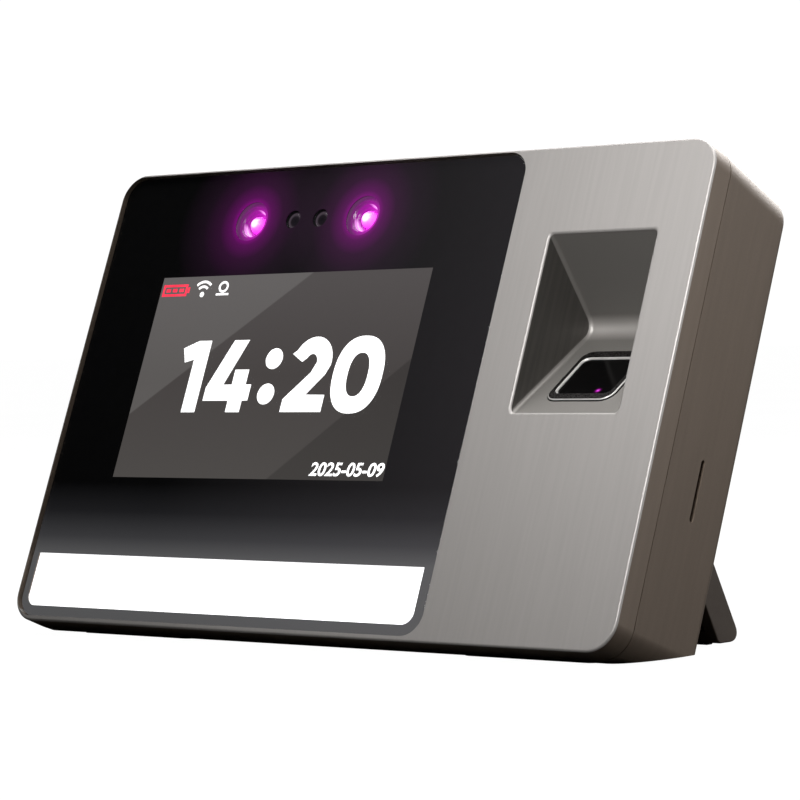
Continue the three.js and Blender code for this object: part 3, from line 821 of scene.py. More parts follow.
    def copied(self, name: str, u: float = 0.0, d: float = 0.0, v: float = 0.0) -> "Work":
        """A copy with its own mesh, moved by u, d and v."""
        self.activate()
        bpy.ops.object.duplicate(linked=False)
        bpy.context.object.location = Vector((u, d, v)) * MM
        return Work(name)

    def fit(self, bench: Bench, slot: Slot, finish: Finish, *nodes: str, body: Body = Body.TERMINAL) -> None:
        """Sets the finished piece into the row frame and dresses it.

        Args:
            bench: the bench that it was made on.
            slot: the record's material slot; not used.
            finish: its finish.
            nodes: the frame's nodes that it stands for.
            body: the body that it moves with.
        """
        self.moved(bench.matrix)
        self.activate()
        bpy.ops.object.shade_smooth_by_angle(angle=math.radians(38))
        weighted = self.obj.modifiers.new("even", "WEIGHTED_NORMAL")
        weighted.keep_sharp = True
        bpy.ops.object.modifier_apply(modifier=weighted.name)
        self.obj.data.materials.clear()
        self.obj.data.materials.append(finish.material())
        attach(self.obj, body.value)
        if nodes:
            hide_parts(*nodes)
        faces = len(self.obj.data.polygons)
        log.info("%s: %d faces, stands for %s", self.obj.name, faces, ", ".join(nodes) or "no node")

    def paint(self, finish: Finish, test: End) -> None:
        """Gives a second finish to the faces whose middle, in the row frame, and normal pass a test."""
        self.obj.data.materials.append(finish.material())
        number = len(self.obj.data.materials) - 1
        for face in self.obj.data.polygons:
            if test(face.center / MM, face.normal):
                face.material_index = number


def running(axis: int, least: float = 1.0) -> End:
    """A test for edges that run along an axis, 0 to 2 for u, d and v, by more than a least length."""
    return lambda a, b: abs(a[axis] - b[axis]) > least


def rounded_slab(name: str, u: Span, d: Span, v: Span, radius: float, segments: int = 10) -> Work:
    """A slab whose four edges along the depth are rounded."""
    return Work.block(name, u, d, v).bevel(running(1, 1e-4), radius, segments)


def at_depth(depth: float, slack: float = 0.01) -> End:
    """A test for edges that lie at a depth."""
    return lambda a, b: abs(a.y - depth) < slack and abs(b.y - depth) < slack


def arc(centre: Span, radii: Span, turn: Span, steps: int = 14) -> Outline:
    """Points along an arc.

    Args:
        centre: the arc's centre.
        radii: its half width and half height.
        turn: the angles where it starts and ends, in degrees.
        steps: how many parts it has.

    Returns:
        The points, in order.
    """
    angles = [math.radians(turn[0] + (turn[1] - turn[0]) * i / steps) for i in range(steps + 1)]
    return [(centre[0] + radii[0] * math.cos(a), centre[1] + radii[1] * math.sin(a)) for a in angles]


def crown(radius: float, rise: float, foot: float) -> list[Span]:
    """The stations of a dome, as radius and depth, from near its tip to its foot."""
    angles = [math.radians(a) for a in range(10, 91, 8)]
    return [(radius * math.sin(a), foot - rise * math.cos(a)) for a in angles]


def oval(centre: Span, radii: Span, power: float = 2.0, steps: int = 56) -> Outline:
    """A closed oval; a power above 2 makes it squarer."""
    points = []
    for i in range(steps):
        angle = 2 * math.pi * i / steps
        cos, sin = math.cos(angle), math.sin(angle)
        x = math.copysign(abs(cos) ** (2 / power), cos)
        y = math.copysign(abs(sin) ** (2 / power), sin)
        points.append((centre[0] + radii[0] * x, centre[1] + radii[1] * y))
    return points


def box_outline(u: Span, v: Span) -> Outline:
    """The outline of a box."""
    return [(u[0], v[0]), (u[1], v[0]), (u[1], v[1]), (u[0], v[1])]


# ---------------------------------------------------------------- the terminal's finishes, painted shade and highlights among them


@dataclass(frozen=True)
class Finishes:
    """Every finish of the terminal, laid out on the benches of its pieces."""

    face: Bench
    ledge: Bench
    leg: Bench

    def satin(self, kind: type[Finish], name: str, light: Colour, dark: Colour) -> Finish:
        """One shade of the satin metallic paint, with faint upright streaks."""
        return kind(
            name, light, dark, self.face, rough=(0.42, 0.5), metallic=0.35, cloud=1.0, grain=4.0, relief=0.06,
            stretch=(0.9, 0.9, 0.03),
        )

    def silver(self) -> Finish:
        """The satin paint on the face."""
        return self.satin(Finish, "satin_silver", (180, 176, 173), (176, 172, 169))

    def well(self) -> Finish:
        """The paint in the well, darker than the face, with a painted highlight along the valley."""
        return self.satin(WellPaintValleyHighlight, "well_silver", (128, 125, 121), (120, 117, 113))

    def well_side(self) -> Finish:
        """Painted shade on the well's side walls: the well's paint made darker still."""
        return self.satin(Finish, "well_side", (84, 81, 77), (77, 74, 71))

    def chamfer_highlight(self) -> Finish:
        """A painted highlight on the sloped edges of the dark metal: a near-white colour in place of the
        bezel's own.
        """
        light, dark = (214, 212, 209), (196, 194, 191)
        return Finish("chamfer_painted_highlight", light, dark, self.ledge, rough=(0.3, 0.4), metallic=0.3, relief=0.0)

    def taupe(self) -> Finish:
        """The face's satin paint in a darker, warmer copy with a fine texture: painted shade for the sides
        and back, which the light reaches less.
        """
        return Finish(
            "taupe_painted_shade", (122, 108, 95), (118, 104, 91), self.face, rough=(0.42, 0.54), metallic=0.25,
            cloud=0.8, grain=3.0, relief=0.12, stretch=(0.6, 0.6, 0.05),
        )

    def leg_painted_shade(self) -> Finish:
        """The same paint on the stand, a little darker: painted shade."""
        return Finish(
            "leg_painted_shade", (98, 87, 78), (94, 83, 74), self.leg, rough=(0.46, 0.58), metallic=0.2,
            cloud=0.8, grain=3.0, relief=0.12, stretch=(0.05, 0.6, 0.6),
        )

    def glass(self) -> Finish:
        """The cover glass."""
        light, dark = (255, 255, 255), (250, 250, 250)
        return ClearGlass("clear_pane", light, dark, self.face, rough=(0.03, 0.07), cloud=0.5)

    def plastic(self) -> Finish:
        """Black moulded plastic."""
        light, dark = (24, 24, 27), (16, 16, 18)
        return Finish("black_moulding", light, dark, self.face, rough=(0.42, 0.6), grain=3.0, relief=0.2)

    def gunmetal(self) -> Finish:
        """Dark polished metal."""
        return Finish(
            "dark_metal", (70, 68, 67), (52, 50, 50), self.ledge, rough=(0.22, 0.32), metallic=0.9, cloud=2.0,
            relief=0.03, stretch=(0.2, 1.0, 1.0),
        )

    def steel(self) -> Finish:
        """Bright steel with fine tool marks."""
        return Finish(
            "bright_steel", (176, 178, 181), (150, 152, 156), self.face, rough=(0.22, 0.36), metallic=1.0,
            cloud=3.0, relief=0.05, stretch=(1.0, 1.0, 0.15),
        )

    def rubber(self) -> Finish:
        """Black rubber with a dry bloom."""
        light, dark = (36, 36, 37), (24, 24, 25)
        return Finish("dry_rubber", light, dark, self.face, rough=(0.78, 0.92), grain=4.0, relief=0.3)

    def board(self) -> Finish:
        """A green circuit board."""
        return Traces("green_board", (38, 104, 72), (22, 70, 50), self.face, rough=(0.3, 0.45), relief=0.2)

    def foam(self) -> Finish:
        """Black open foam."""
        light, dark = (44, 44, 48), (20, 20, 22)
        return Finish("open_foam", light, dark, self.face, rough=(0.9, 1.0), grain=2.2, relief=0.8)

    def battery(self) -> Finish:
        """The blue sleeve of the battery."""
        light, dark = (58, 92, 142), (44, 74, 118)
        return Finish("blue_sleeve", light, dark, self.face, rough=(0.25, 0.4), coat=0.3, stretch=(0.1, 1, 1))

    def flex(self) -> Finish:
        """Amber flexible circuit film."""
        return Finish(
            "amber_film", (196, 132, 52), (158, 98, 34), self.face, rough=(0.25, 0.4), cloud=2.4,
            stretch=(1.0, 0.02, 0.02),
        )

    def cable(self) -> Finish:
        """The black jacket of the leads."""
        light, dark = (38, 38, 41), (26, 26, 28)
        return Finish("lead_jacket", light, dark, self.face, rough=(0.4, 0.55), grain=2.0, relief=0.2)


# ---------------------------------------------------------------- sub-assemblies


@dataclass
class FaceShell:
    """The front casing: a satin face round the glass, with the finger well let into it."""

    face: Bench
    ledge: Bench
    finishes: Finishes
    edge: float = 0.6
    glass_u: Span = (0.6, 140.9)
    glass_v: Span = (1.3, 127.4)
    well_u: Span = (153.1, 185.2)
    well_v: Span = (CASE.ledge_foot, 105.2)
    well_depth: float = 21.89
    valley_v: float = 87.98
    valley_reach: float = 4.0
    draft: float = 0.123
    mouth: float = 0.7

    def well(self, name: str, wall: float, front: float) -> Work:
        """The space of the finger well, or the tub round it.

        Args:
            name: the tool's name.
            wall: how far outside the space it reaches.
            front: the depth where it starts.

        Returns:
            The block of the well.
        """
        top_slope = (self.well_v[1] - self.valley_v) / self.well_depth
        low_slope = (self.valley_v - self.well_v[0]) / self.well_depth
        reach = self.well_depth + wall * 1.4
        half = (self.well_u[1] - self.well_u[0]) / 2 + wall
        middle = (self.well_u[0] + self.well_u[1]) / 2
        low = self.well_v[0] - wall * math.hypot(1, low_slope) + low_slope * front
        high = self.well_v[1] + wall * math.hypot(1, top_slope) - top_slope * front
        block = Work.block(name, (middle - half, middle + half), (front, reach), (low, high))
        narrow = (half - self.draft * reach) / (half - self.draft * front)
        with block.editing("FACE"):
            block.pick_faces(lambda c, n: n.y > 0.9)
            centre = Vector((middle, reach, self.valley_v)) * MM
            bpy.ops.transform.resize(value=(narrow, 1, 1e-5), center_override=centre)
        block.seal()
        block.bevel(at_depth(reach), self.valley_reach, 12)

        def side_corner(a: Vector, b: Vector) -> bool:
            """True on the edges where the side walls meet the slopes and the valley."""
            return max(a.y, b.y) > front + 0.5 and abs(a.x - b.x) < 9 and abs(a.x - middle) > 5

        return block.bevel(side_corner, 1.1, 4)

    def well_space(self) -> Work:
        """The well's space with its softened mouth."""
        front = self.mouth
        space = self.well("well_space", 0.0, front)
        steps = []
        for i in range(1, 6):
            turn = math.radians(18 * i)
            steps.append((front * (1 - math.sin(turn)), front * (1 - math.cos(turn))))
        steps.append((-2.0, front))
        size = (self.well_u[1] - self.well_u[0], self.well_v[1] - self.well_v[0])
        middle = (sum(self.well_u) / 2, sum(self.well_v) / 2)
        return space.grow_face(lambda c, n: n.y < -0.9, steps, size, middle)

    def build(self, sensor_hole: Work, display: "DisplaySide", eyes: "EyeRow") -> None:
        """Models the casing and dresses it.

        Args:
            sensor_hole: the tool that cuts the sensor's seat, on the ledge's bench.
            display: the display side, which says what windows it needs.
            eyes: the lamps and cameras, which say what holes they need.
        """
        sides, rise = (0, CASE.width), (0, CASE.height)
        shell = rounded_slab("face_shell", sides, (0, CASE.seam), rise, CASE.corner, 14)
        shell.bevel(at_depth(0), self.edge, 5)
        inner = (CASE.wall, CASE.width - CASE.wall)
        rise = (CASE.wall, CASE.height - CASE.wall)
        shell.cut(rounded_slab("hollow", inner, (3.9, CASE.seam + 1), rise, CASE.corner - CASE.wall, 8))
        shell.join(self.well("tub", 1.6, 1.0))
        for u, v, _ in CASE.screws:
            post = [(3.4, 1.9), (3.4, 18.0), (1.35, 18.0), (1.35, 5.0), (3.4, 1.9)]
            shell.join(Work.turned("post", (u, v), post, 24))
        shell.cut(
            rounded_slab("glass_seat", self.glass_u, (-1, 1.9), self.glass_v, 6.1, 14),
            display.cell_window(),
            display.strip_window(0.5, (-1.0, 5.0)),
            *eyes.holes(),
            self.well_space(),
            sensor_hole.moved(self.ledge.seen_from(self.face)),
        )
        shell.fit(self.face, Slot.SILVER, self.finishes.silver(), "front_casing")
        outward = self.face.matrix.to_3x3() @ Vector((0, -1, 0))
        place = self.face.matrix.inverted()

        def skirt(centre: Vector, normal: Vector) -> bool:
            """True on the outer skirt behind the face's softened edge."""
            spot = place @ (centre * MM) / MM
            outside = min(spot.x, CASE.width - spot.x, spot.z, CASE.height - spot.z) < CASE.wall + 0.01
            return spot.y > self.edge * 0.9 and outside and abs(normal.dot(outward)) < 0.6

        # The skirt takes the darker copy of the paint: painted shade on the casing's sides.
        shell.paint(self.finishes.taupe(), skirt)

        def in_well(centre: Vector, normal: Vector) -> bool:
            """True on the walls and the ledge of the well."""
            spot = place @ (centre * MM) / MM
            across = self.well_u[0] - 0.1 < spot.x < self.well_u[1] + 0.1
            up = self.well_v[0] - 0.1 < spot.z < self.well_v[1] + 0.1
            return spot.y > self.mouth * 0.6 and across and up

        def side_wall(centre: Vector, normal: Vector) -> bool:
            """True on the well's two side walls."""
            return in_well(centre, normal) and abs(normal.x) > 0.9

        # The well takes its paint with a painted highlight along the valley.
        shell.paint(self.finishes.well(), in_well)
        # The side walls take the well's paint in a darker copy: painted shade.
        shell.paint(self.finishes.well_side(), side_wall)


@dataclass
class BackShell:
    """The rear housing: a tapered tub with the stand's recess, the ports and the sound slit."""

    face: Bench
    finishes: Finishes
    front: float = 7.1
    draft: float = math.tan(math.radians(3))
    round: float = 3.0
    base: float = -3.505
    recess_u: Span = (11.0, 187.0)
    recess_top: float = 50.3
    recess_floor: float = 27.0
    slit: Place = (20.7, 38.3, 53.8)

    def tapered(self, name: str, inset: float, d: Span, corner: float) -> Work:
        """A rounded block that narrows towards its back.

        Args:
            name: the block's name.
            inset: how far inside the casing's outline it stands.
            d: its front and its back.
            corner: the radius of its corners.

        Returns:
            The block.
        """
        start, end = (inset + (x - CASE.seam) * self.draft for x in d)
        block = Work.block(name, (start, CASE.width - start), d, (start, CASE.height - start))
        wide = (CASE.width - 2 * end) / (CASE.width - 2 * start)
        high = (CASE.height - 2 * end) / (CASE.height - 2 * start)
        with block.editing("FACE"):
            block.pick_faces(lambda c, n: n.y > 0.9)
            centre = Vector((CASE.width / 2, d[1], CASE.height / 2)) * MM
            bpy.ops.transform.resize(value=(wide, 1, high), center_override=centre)
        return block.bevel(running(1), corner, 14)

    def over_base(self, work: Work, raised: float) -> Work:
        """Cuts away what lies below the level underside, raised by so much."""
        up = Vector((0, -math.sin(math.radians(CASE.lean)), math.cos(math.radians(CASE.lean))))
        return work.slice((0, 0, (self.base + raised) / up.z), up)

    def cavity(self) -> Work:
        """The space inside, short of the stand's recess."""
        span = (CASE.seam - 2, CASE.back - CASE.wall)
        space = self.tapered("cavity", CASE.wall, span, CASE.corner - CASE.wall)
        self.over_base(space, CASE.wall)
        sides = (self.recess_u[0] - CASE.wall, self.recess_u[1] + CASE.wall)
        up = (-40, self.recess_top + CASE.wall)
        return space.cut(Work.block("recess_walls", sides, (self.recess_floor - CASE.wall, 50), up))

    def lip(self) -> Work:
        """The lip that reaches into the front casing behind the seam."""
        shapes = []
        for inset, d in ((CASE.wall + 0.3, (5.0, self.front + 2)), (CASE.wall + 1.5, (4, 11))):
            u, v = (inset, CASE.width - inset), (inset, CASE.height - inset)
            shapes.append(rounded_slab("lip", u, d, v, CASE.corner - inset, 8))
        return shapes[0].cut(shapes[1])

    def pad_pocket(self, left: float) -> Work:
        """The shallow pocket of a foot pad, level with the desk."""
        u = (left - 0.3, left + CASE.pad_length + 0.3)
        pocket = Work.block("pad_pocket", u, (12.2, 23.8), (self.base - 5, self.base + 0.6))
        pocket.bevel(running(2), 2.8, 6)
        return pocket.moved(Matrix.Rotation(math.radians(CASE.lean), 4, "X"))

    def build(self) -> None:
        """Models the housing and dresses it."""
        shell = self.tapered("back_shell", 0.0, (self.front, CASE.back), CASE.corner)
        shell.bevel(at_depth(CASE.back), self.round, 8)
        self.over_base(shell, 0.0)
        shell.cut(self.cavity())
        shell.join(self.lip())
        for u, v, seat in CASE.screws:
            shell.join(Work.rod("boss", (u, v), 3.9, (18.3, min(seat + 3, CASE.back - 1)), 24))
        recess = Work.block("recess", self.recess_u, (self.recess_floor, 45), (-40, self.recess_top))
        recess.bevel(at_depth(self.recess_floor), 1.0, 4)
        shell.cut(recess)
        d, low, high = self.slit
        slit = Work.block("slit", (190, 200), (d - 0.8, d + 0.8), (low, high))
        shell.cut(slit.bevel(running(0), 0.79, 6))
        u, v = CASE.data_port
        shell.cut(
            Work.turned("jack_mouth", CASE.jack, [(4.5, 30), (4.5, 35.5), (5.0, 36.0), (5.0, 38)], 48),
            rounded_slab("usb_mouth", (u - 7, u + 7), (30, 38), (v - 3.3, v + 3.3), 0.8, 4),
            Work.turned("key_mouth", CASE.key, [(3.1, 30), (3.1, 35.6), (3.5, 36.0), (3.5, 38)], 40),
            Work.crossbar("pin_hole", (7, 191), CASE.hinge, 1.6),
        )
        for u, v, seat in CASE.screws:
            stations = [(1.6, 17), (1.6, seat), (3.0, seat), (3.0, 38)]
            shell.cut(Work.turned("well_of_screw", (u, v), stations, 32))
        for left in CASE.pads:
            shell.cut(self.pad_pocket(left))
        # The housing takes the darker copy of the casing's paint: painted shade.
        shell.fit(self.face, Slot.TAUPE, self.finishes.taupe(), "rear_housing")


@dataclass
class DisplaySide:
    """The cover glass and what is lit behind it."""

    face: Bench
    finishes: Finishes
    glass_u: Span = (0.7, 140.8)
    glass_v: Span = (1.4, 127.3)
    screen_u: Span = (22.8, 117.1)
    screen_v: Span = (40.75, 97.65)
    cell: Span = (105.4, 67.2)
    strip_u: Span = (2.7, 136.8)
    strip_v: Span = (4.5, 19.15)
    print_front: float = 1.3
    print_back: float = 1.6

    def cell_box(self, grow: float) -> tuple[Span, Span]:
        """The display's outline about the middle of its picture, grown by so much."""
        u, v = sum(self.screen_u) / 2, sum(self.screen_v) / 2
        wide, high = self.cell[0] / 2 + grow, self.cell[1] / 2 + grow
        return (u - wide, u + wide), (v - high, v + high)

    def cell_window(self) -> Work:
        """The window in the carrier for the display."""
        u, v = self.cell_box(0.4)
        return Work.block("cell_window", u, (-1, 5), v)

    def strip_window(self, grow: float, d: Span) -> Work:
        """The outline of the light bar, rounded at its lower corners."""
        u = (self.strip_u[0] - grow, self.strip_u[1] + grow)
        v = (self.strip_v[0] - grow, self.strip_v[1] + grow)
        slab = Work.block("strip_window", u, d, v)
        return slab.bevel(lambda a, b: abs(a.y - b.y) > 0.1 and max(a.z, b.z) < v[0] + 0.1, 3.3 + grow, 8)

    def pane(self) -> None:
        """The cover glass with its polished edge."""
        pane = rounded_slab("glass_pane", self.glass_u, (0.1, 1.2), self.glass_v, 6.0, 14)
        pane.bevel(at_depth(0.1), 0.35, 4)
        pane.fit(self.face, Slot.COVER_GLASS, self.finishes.glass(), "cover_glass")

    def printed(self, lamps: tuple[Span, ...], holes: list[Work]) -> None:
        """The black print with its windows.

        Args:
            lamps: the centres of the lamps whose glow is painted on it.
            holes: the tools that cut the windows of lamps and cameras.
        """
        u = (self.glass_u[0] + 0.2, self.glass_u[1] - 0.2)
        v = (self.glass_v[0] + 0.2, self.glass_v[1] - 0.2)
        mask = rounded_slab("black_mask", u, (self.print_front, self.print_back), v, 5.8, 14)
        screen = Work.block("screen_window", self.screen_u, (0, 3), self.screen_v)
        mask.cut(screen, self.strip_window(0.0, (0, 3)), *holes)
        # the print carries the painted glow of the lamps and the bar and a painted reflection
        finish = PrintWithPaintedGlow(
            "mask_black_painted_glow", (6, 6, 7), (4, 4, 5), self.face, rough=(0.5, 0.6), specular=0.1, relief=0.02,
            lamps=lamps, strip_top=self.strip_v[1], width=self.glass_u[1],
        )
        mask.fit(self.face, Slot.BLACK_PRINT, finish, "glass_mask")

    def panel(self) -> None:
        """The lit display, with a thin frame round its picture."""
        u, v = self.cell_box(0.0)
        panel = rounded_slab("lit_panel", u, (1.9, 3.3), v, 0.8, 4)
        panel.bevel(at_depth(1.9), 0.12, 2)
        finish = LitScreen(
            "lit_screen", (10, 10, 10), (8, 8, 8), self.face, rough=(0.3, 0.4), specular=0.1, relief=0.0,
            upper=((-0.587, 0.809), 34.24), lower=((0.6397, -0.7687), 18.16), height=self.screen_v,
        )
        panel.fit(self.face, Slot.SCREEN, finish, "display_panel")

    def bar(self) -> None:
        """The white diffuser of the light bar."""
        bar = self.strip_window(0.2, (1.9, 4.6)).bevel(at_depth(1.9), 0.3, 3)
        bar.obj.name = "white_bar"
        light, dark = (255, 255, 255), (252, 253, 255)
        finish = Glow("white_light", light, dark, self.face, rough=(0.4, 0.5), cloud=0.05, strength=1.25)
        bar.fit(self.face, Slot.LIGHT_BAR, finish, "light_bar_diffuser")

    def build(self, eyes: "EyeRow") -> None:
        """Models the display side and dresses it."""
        self.pane()
        self.printed(eyes.lamp_centres(), eyes.windows())
        self.panel()
        self.bar()


@dataclass
class ScreenPicture:
    """The figures and signs in the display's picture, as thin lit shapes."""

    face: Bench
    depth: float = 1.82
    thick: float = 0.06
    shift: Span = (-1.6, 0.65)
    white: Colour = (255, 255, 255)
    red: Colour = (240, 60, 84)
    figures: list[tuple[str, list[Outline]]] = field(default_factory=list)

    def one(self) -> list[Outline]:
        """The figure 1."""
        return [[
            (38.34, 76.53), (43.4, 78.57), (47.97, 78.57), (47.97, 58.48), (43.06, 58.48), (43.06, 73.3),
            (39.9, 72.5),
        ]]

    def two(self) -> list[Outline]:
        """The figure 2."""
        outer = arc((85.2, 72.1), (6.65, 6.95), (152, -8), 18)
        inner = arc((84.9, 72.0), (2.0, 2.35), (0, 150), 10)
        return [[
            (77.94, 74.42), *outer, (90.6, 68.6), (85.6, 63.2), (92.1, 63.1), (92.1, 58.48), (78.13, 58.48),
            (78.13, 61.98), (85.6, 69.2), *inner, (81.77, 72.19),
        ]]

    def four(self) -> list[Outline]:
        """The figure 4."""
        return [[
            (56.26, 78.57), (61.55, 78.57), (55.94, 66.13), (59.0, 66.13), (59.0, 70.28), (63.91, 70.28),
            (63.91, 66.13), (65.89, 66.13), (65.89, 61.67), (63.91, 61.67), (63.91, 58.48), (59.0, 58.48),
            (59.0, 61.67), (49.94, 61.67), (49.94, 65.3),
        ]]

    def waves(self) -> list[Outline]:
        """The sign of a wireless network."""
        foot = (39.75, 91.9)
        rings = [(1.9, 2.6), (3.3, 4.0)]
        shapes = [arc(foot, (out,) * 2, (46, 134)) + arc(foot, (into,) * 2, (134, 46)) for into, out in rings]
        return [*shapes, oval(foot, (0.75, 0.75), steps=20)]

    def build(self) -> None:
        """Cuts each figure and sign, and lights it."""
        light = Glow("figure_light", self.white, (250, 250, 250), self.face, cloud=0.3, strength=1.0)
        shapes = {
            "hour_1": self.one(),
            "hour_4": self.four(),
            "colon_high": [oval((71.8, 73.2), (2.87, 2.87))],
            "colon_low": [oval((71.8, 63.45), (2.87, 2.87))],
            "minute_2": self.two(),
            "minute_0": [oval((101.65, 68.55), (8.29, 10.5), 2.35), oval((101.65, 68.55), (3.4, 5.9), 2.35)],
            "sign_waves": self.waves(),
            "sign_ring": [oval((47.1, 93.9), (1.75, 1.65)), oval((47.1, 93.9), (1.1, 1.0))],
            "sign_foot": [box_outline((44.9, 49.4), (91.5, 92.1))],
        }
        place = Matrix.Translation(Vector((self.shift[0], 0, self.shift[1])) * MM)
        for name, outlines in shapes.items():
            work = Work.cut_out(name, outlines, self.depth, self.thick).moved(place)
            work.fit(self.face, Slot.SCREEN, light)
        u, v = (93.4, 117.9), (41.3, 45.0)
        date = Work.lettered("date_figures", "2025-05-09", u, v, self.depth, self.thick)
        date.moved(place).fit(self.face, Slot.SCREEN, light)
        warning = Glow("gauge_light", self.red, (225, 50, 74), self.face, cloud=0.3, strength=1.0)
        gauge = [box_outline((24.9, 33.9), (91.6, 95.0)), box_outline((25.6, 33.2), (92.3, 94.3))]
        bars = [box_outline((u, u + 1.6), (92.8, 93.8)) for u in (26.2, 28.6, 31.0)]
        nose = box_outline((34.1, 34.8), (92.5, 94.1))
        sign = Work.cut_out("charge_gauge", [*gauge, *bars, nose], self.depth, self.thick)
        sign.moved(place).fit(self.face, Slot.SCREEN, warning)


@dataclass
class EyeRow:
    """Two infrared lamps with two cameras between them."""

    face: Bench
    finishes: Finishes
    u: float = 69.6
    v: float = 112.95
    lamp_pitch: float = 39.0
    camera_pitch: float = 9.5
    ring: float = 5.6
    barrel: float = 3.3
    lens: float = 2.35

    def lamp_centres(self) -> tuple[Span, ...]:
        """The middles of the lamps."""
        return ((self.u - self.lamp_pitch / 2, self.v), (self.u + self.lamp_pitch / 2, self.v))

    def camera_centres(self) -> tuple[Span, ...]:
        """The middles of the cameras."""
        return ((self.u - self.camera_pitch / 2, self.v), (self.u + self.camera_pitch / 2, self.v))

    def bored(self, lamp: float, camera: float, d: Span) -> list[Work]:
        """Rods for the holes of lamps and cameras."""
        rods = [Work.rod("lamp_hole", centre, lamp, d, 64) for centre in self.lamp_centres()]
        return rods + [Work.rod("camera_hole", centre, camera, d, 48) for centre in self.camera_centres()]

    def holes(self) -> list[Work]:
        """The holes in the carrier."""
        return self.bored(self.ring + 0.3, self.barrel + 0.3, (-1.0, 5.0))

    def windows(self) -> list[Work]:
        """The windows in the print."""
        return self.bored(self.ring, self.lens + 0.2, (0.0, 3.0))

    def cup_painted_glow(self, centre: Span, hand: str) -> Finish:
        """The lamp's light and two highlights, painted on the cup of a lamp."""
        return CupPaintedGlow(
            f"cup_glow_{hand}", (46, 40, 48), (34, 30, 36), self.face, rough=(0.2, 0.3), specular=0.4,
            relief=0.0, axis=centre, centre=(centre[0] + 1.2, 4.0, centre[1] - 0.6), reach=7.5,
            stops=((0.0, (255, 90, 250)), (0.35, (240, 50, 230)), (0.6, (170, 20, 165)),
                   (0.8, (104, 30, 102)), (1.0, (92, 58, 90))),
        )

    def dome_finish(self, centre: Span, hand: str) -> Finish:
        """The lit dome of a lamp."""
        return SpotGlow(
            f"lamp_light_{hand}", (255, 160, 255), (240, 120, 240), self.face, rough=(0.1, 0.2), relief=0.0,
            centre=(centre[0], 2.3, centre[1]), reach=3.2, strength=1.25,
            stops=((0.0, (255, 246, 255)), (0.3, (255, 222, 255)), (0.46, (248, 110, 240)),
                   (0.7, (228, 48, 218)), (1.0, (206, 34, 198))),
        )

    def painted_lens_highlight(self, centre: Span, hand: str) -> Finish:
        """A painted highlight on a lens: a faint ring of light round a point near its middle."""
        return SpotGlow(
            f"lens_painted_highlight_{hand}", (16, 15, 20), (7, 7, 10), self.face, rough=(0.16, 0.24), cloud=0.7,
            relief=0.0, centre=(centre[0] + 0.5, 2.0, centre[1] - 0.4), reach=3.2,
            stops=((0.0, (16, 13, 17)), (0.4, (26, 21, 26)), (0.55, (66, 58, 65)), (0.68, (70, 61, 69)),
                   (0.8, (28, 22, 28))),
        )

    def lamps(self) -> None:
        """The lamps: each a ring with a stepped cone, and a lit dome."""
        centres = self.lamp_centres()
        outside = [(4.4, 1.9), (5.6, 1.9), (5.6, 5.6), (2.75, 5.6)]
        cone = [(2.75, 4.9), (3.3, 4.6), (3.3, 4.0), (3.8, 3.7), (3.8, 3.0), (4.4, 2.6), (4.4, 1.9)]
        ring = Work.turned("lamp_cup", centres[0], outside + cone, 64)
        foot = [(2.4, 6.3), (2.9, 6.3), (2.9, 7.2), (0, 7.2)]
        bulb = Work.turned("lamp_dome", centres[0], [*crown(2.4, 2.4, 4.7), *foot], 48)
        for centre, hand in zip(centres, HANDS):
            step = centre[0] - centres[0][0]
            cup = ring.copied(f"lamp_cup_{hand}", step)
            cup.fit(self.face, Slot.BLACK_PLASTIC, self.cup_painted_glow(centre, hand), f"ir_ring_{hand}")
            dome = bulb.copied(f"lamp_dome_{hand}", step)
            dome.fit(self.face, Slot.INFRARED, self.dome_finish(centre, hand), f"ir_lamp_{hand}")
        ring.discard()
        bulb.discard()

    def cameras(self) -> None:
        """The cameras: each a barrel with a stepped hood, and a lens."""
        centres = self.camera_centres()
        u, v = centres[0]
        case = Work.block("camera_case", (u - 4.2, u + 4.2), (4.2, 7.2), (v - 4.2, v + 4.2))
        case.bevel(lambda a, b: True, 0.4, 2)
        case.join(Work.rod("barrel", centres[0], self.barrel, (1.9, 5.0), 48))
        case.cut(Work.turned("hood", centres[0], [(2.55, 1.0), (2.55, 2.0), (2.42, 2.2), (2.42, 3.05)], 48))
        stations = [*crown(self.lens, 0.7, 2.45), (self.lens, 2.75), (0, 2.75)]
        glass = Work.turned("camera_glass", centres[0], stations, 48)
        for centre, hand in zip(centres, HANDS):
            step = centre[0] - u
            body = case.copied(f"camera_case_{hand}", step)
            body.fit(self.face, Slot.BLACK_PLASTIC, self.finishes.plastic(), f"camera_body_{hand}")
            lens = glass.copied(f"camera_glass_{hand}", step)
            lens.fit(self.face, Slot.DARK_LENS, self.painted_lens_highlight(centre, hand), f"camera_lens_{hand}")
        case.discard()
        glass.discard()

    def build(self) -> None:
        """Models lamps and cameras and dresses them."""
        self.lamps()
        self.cameras()


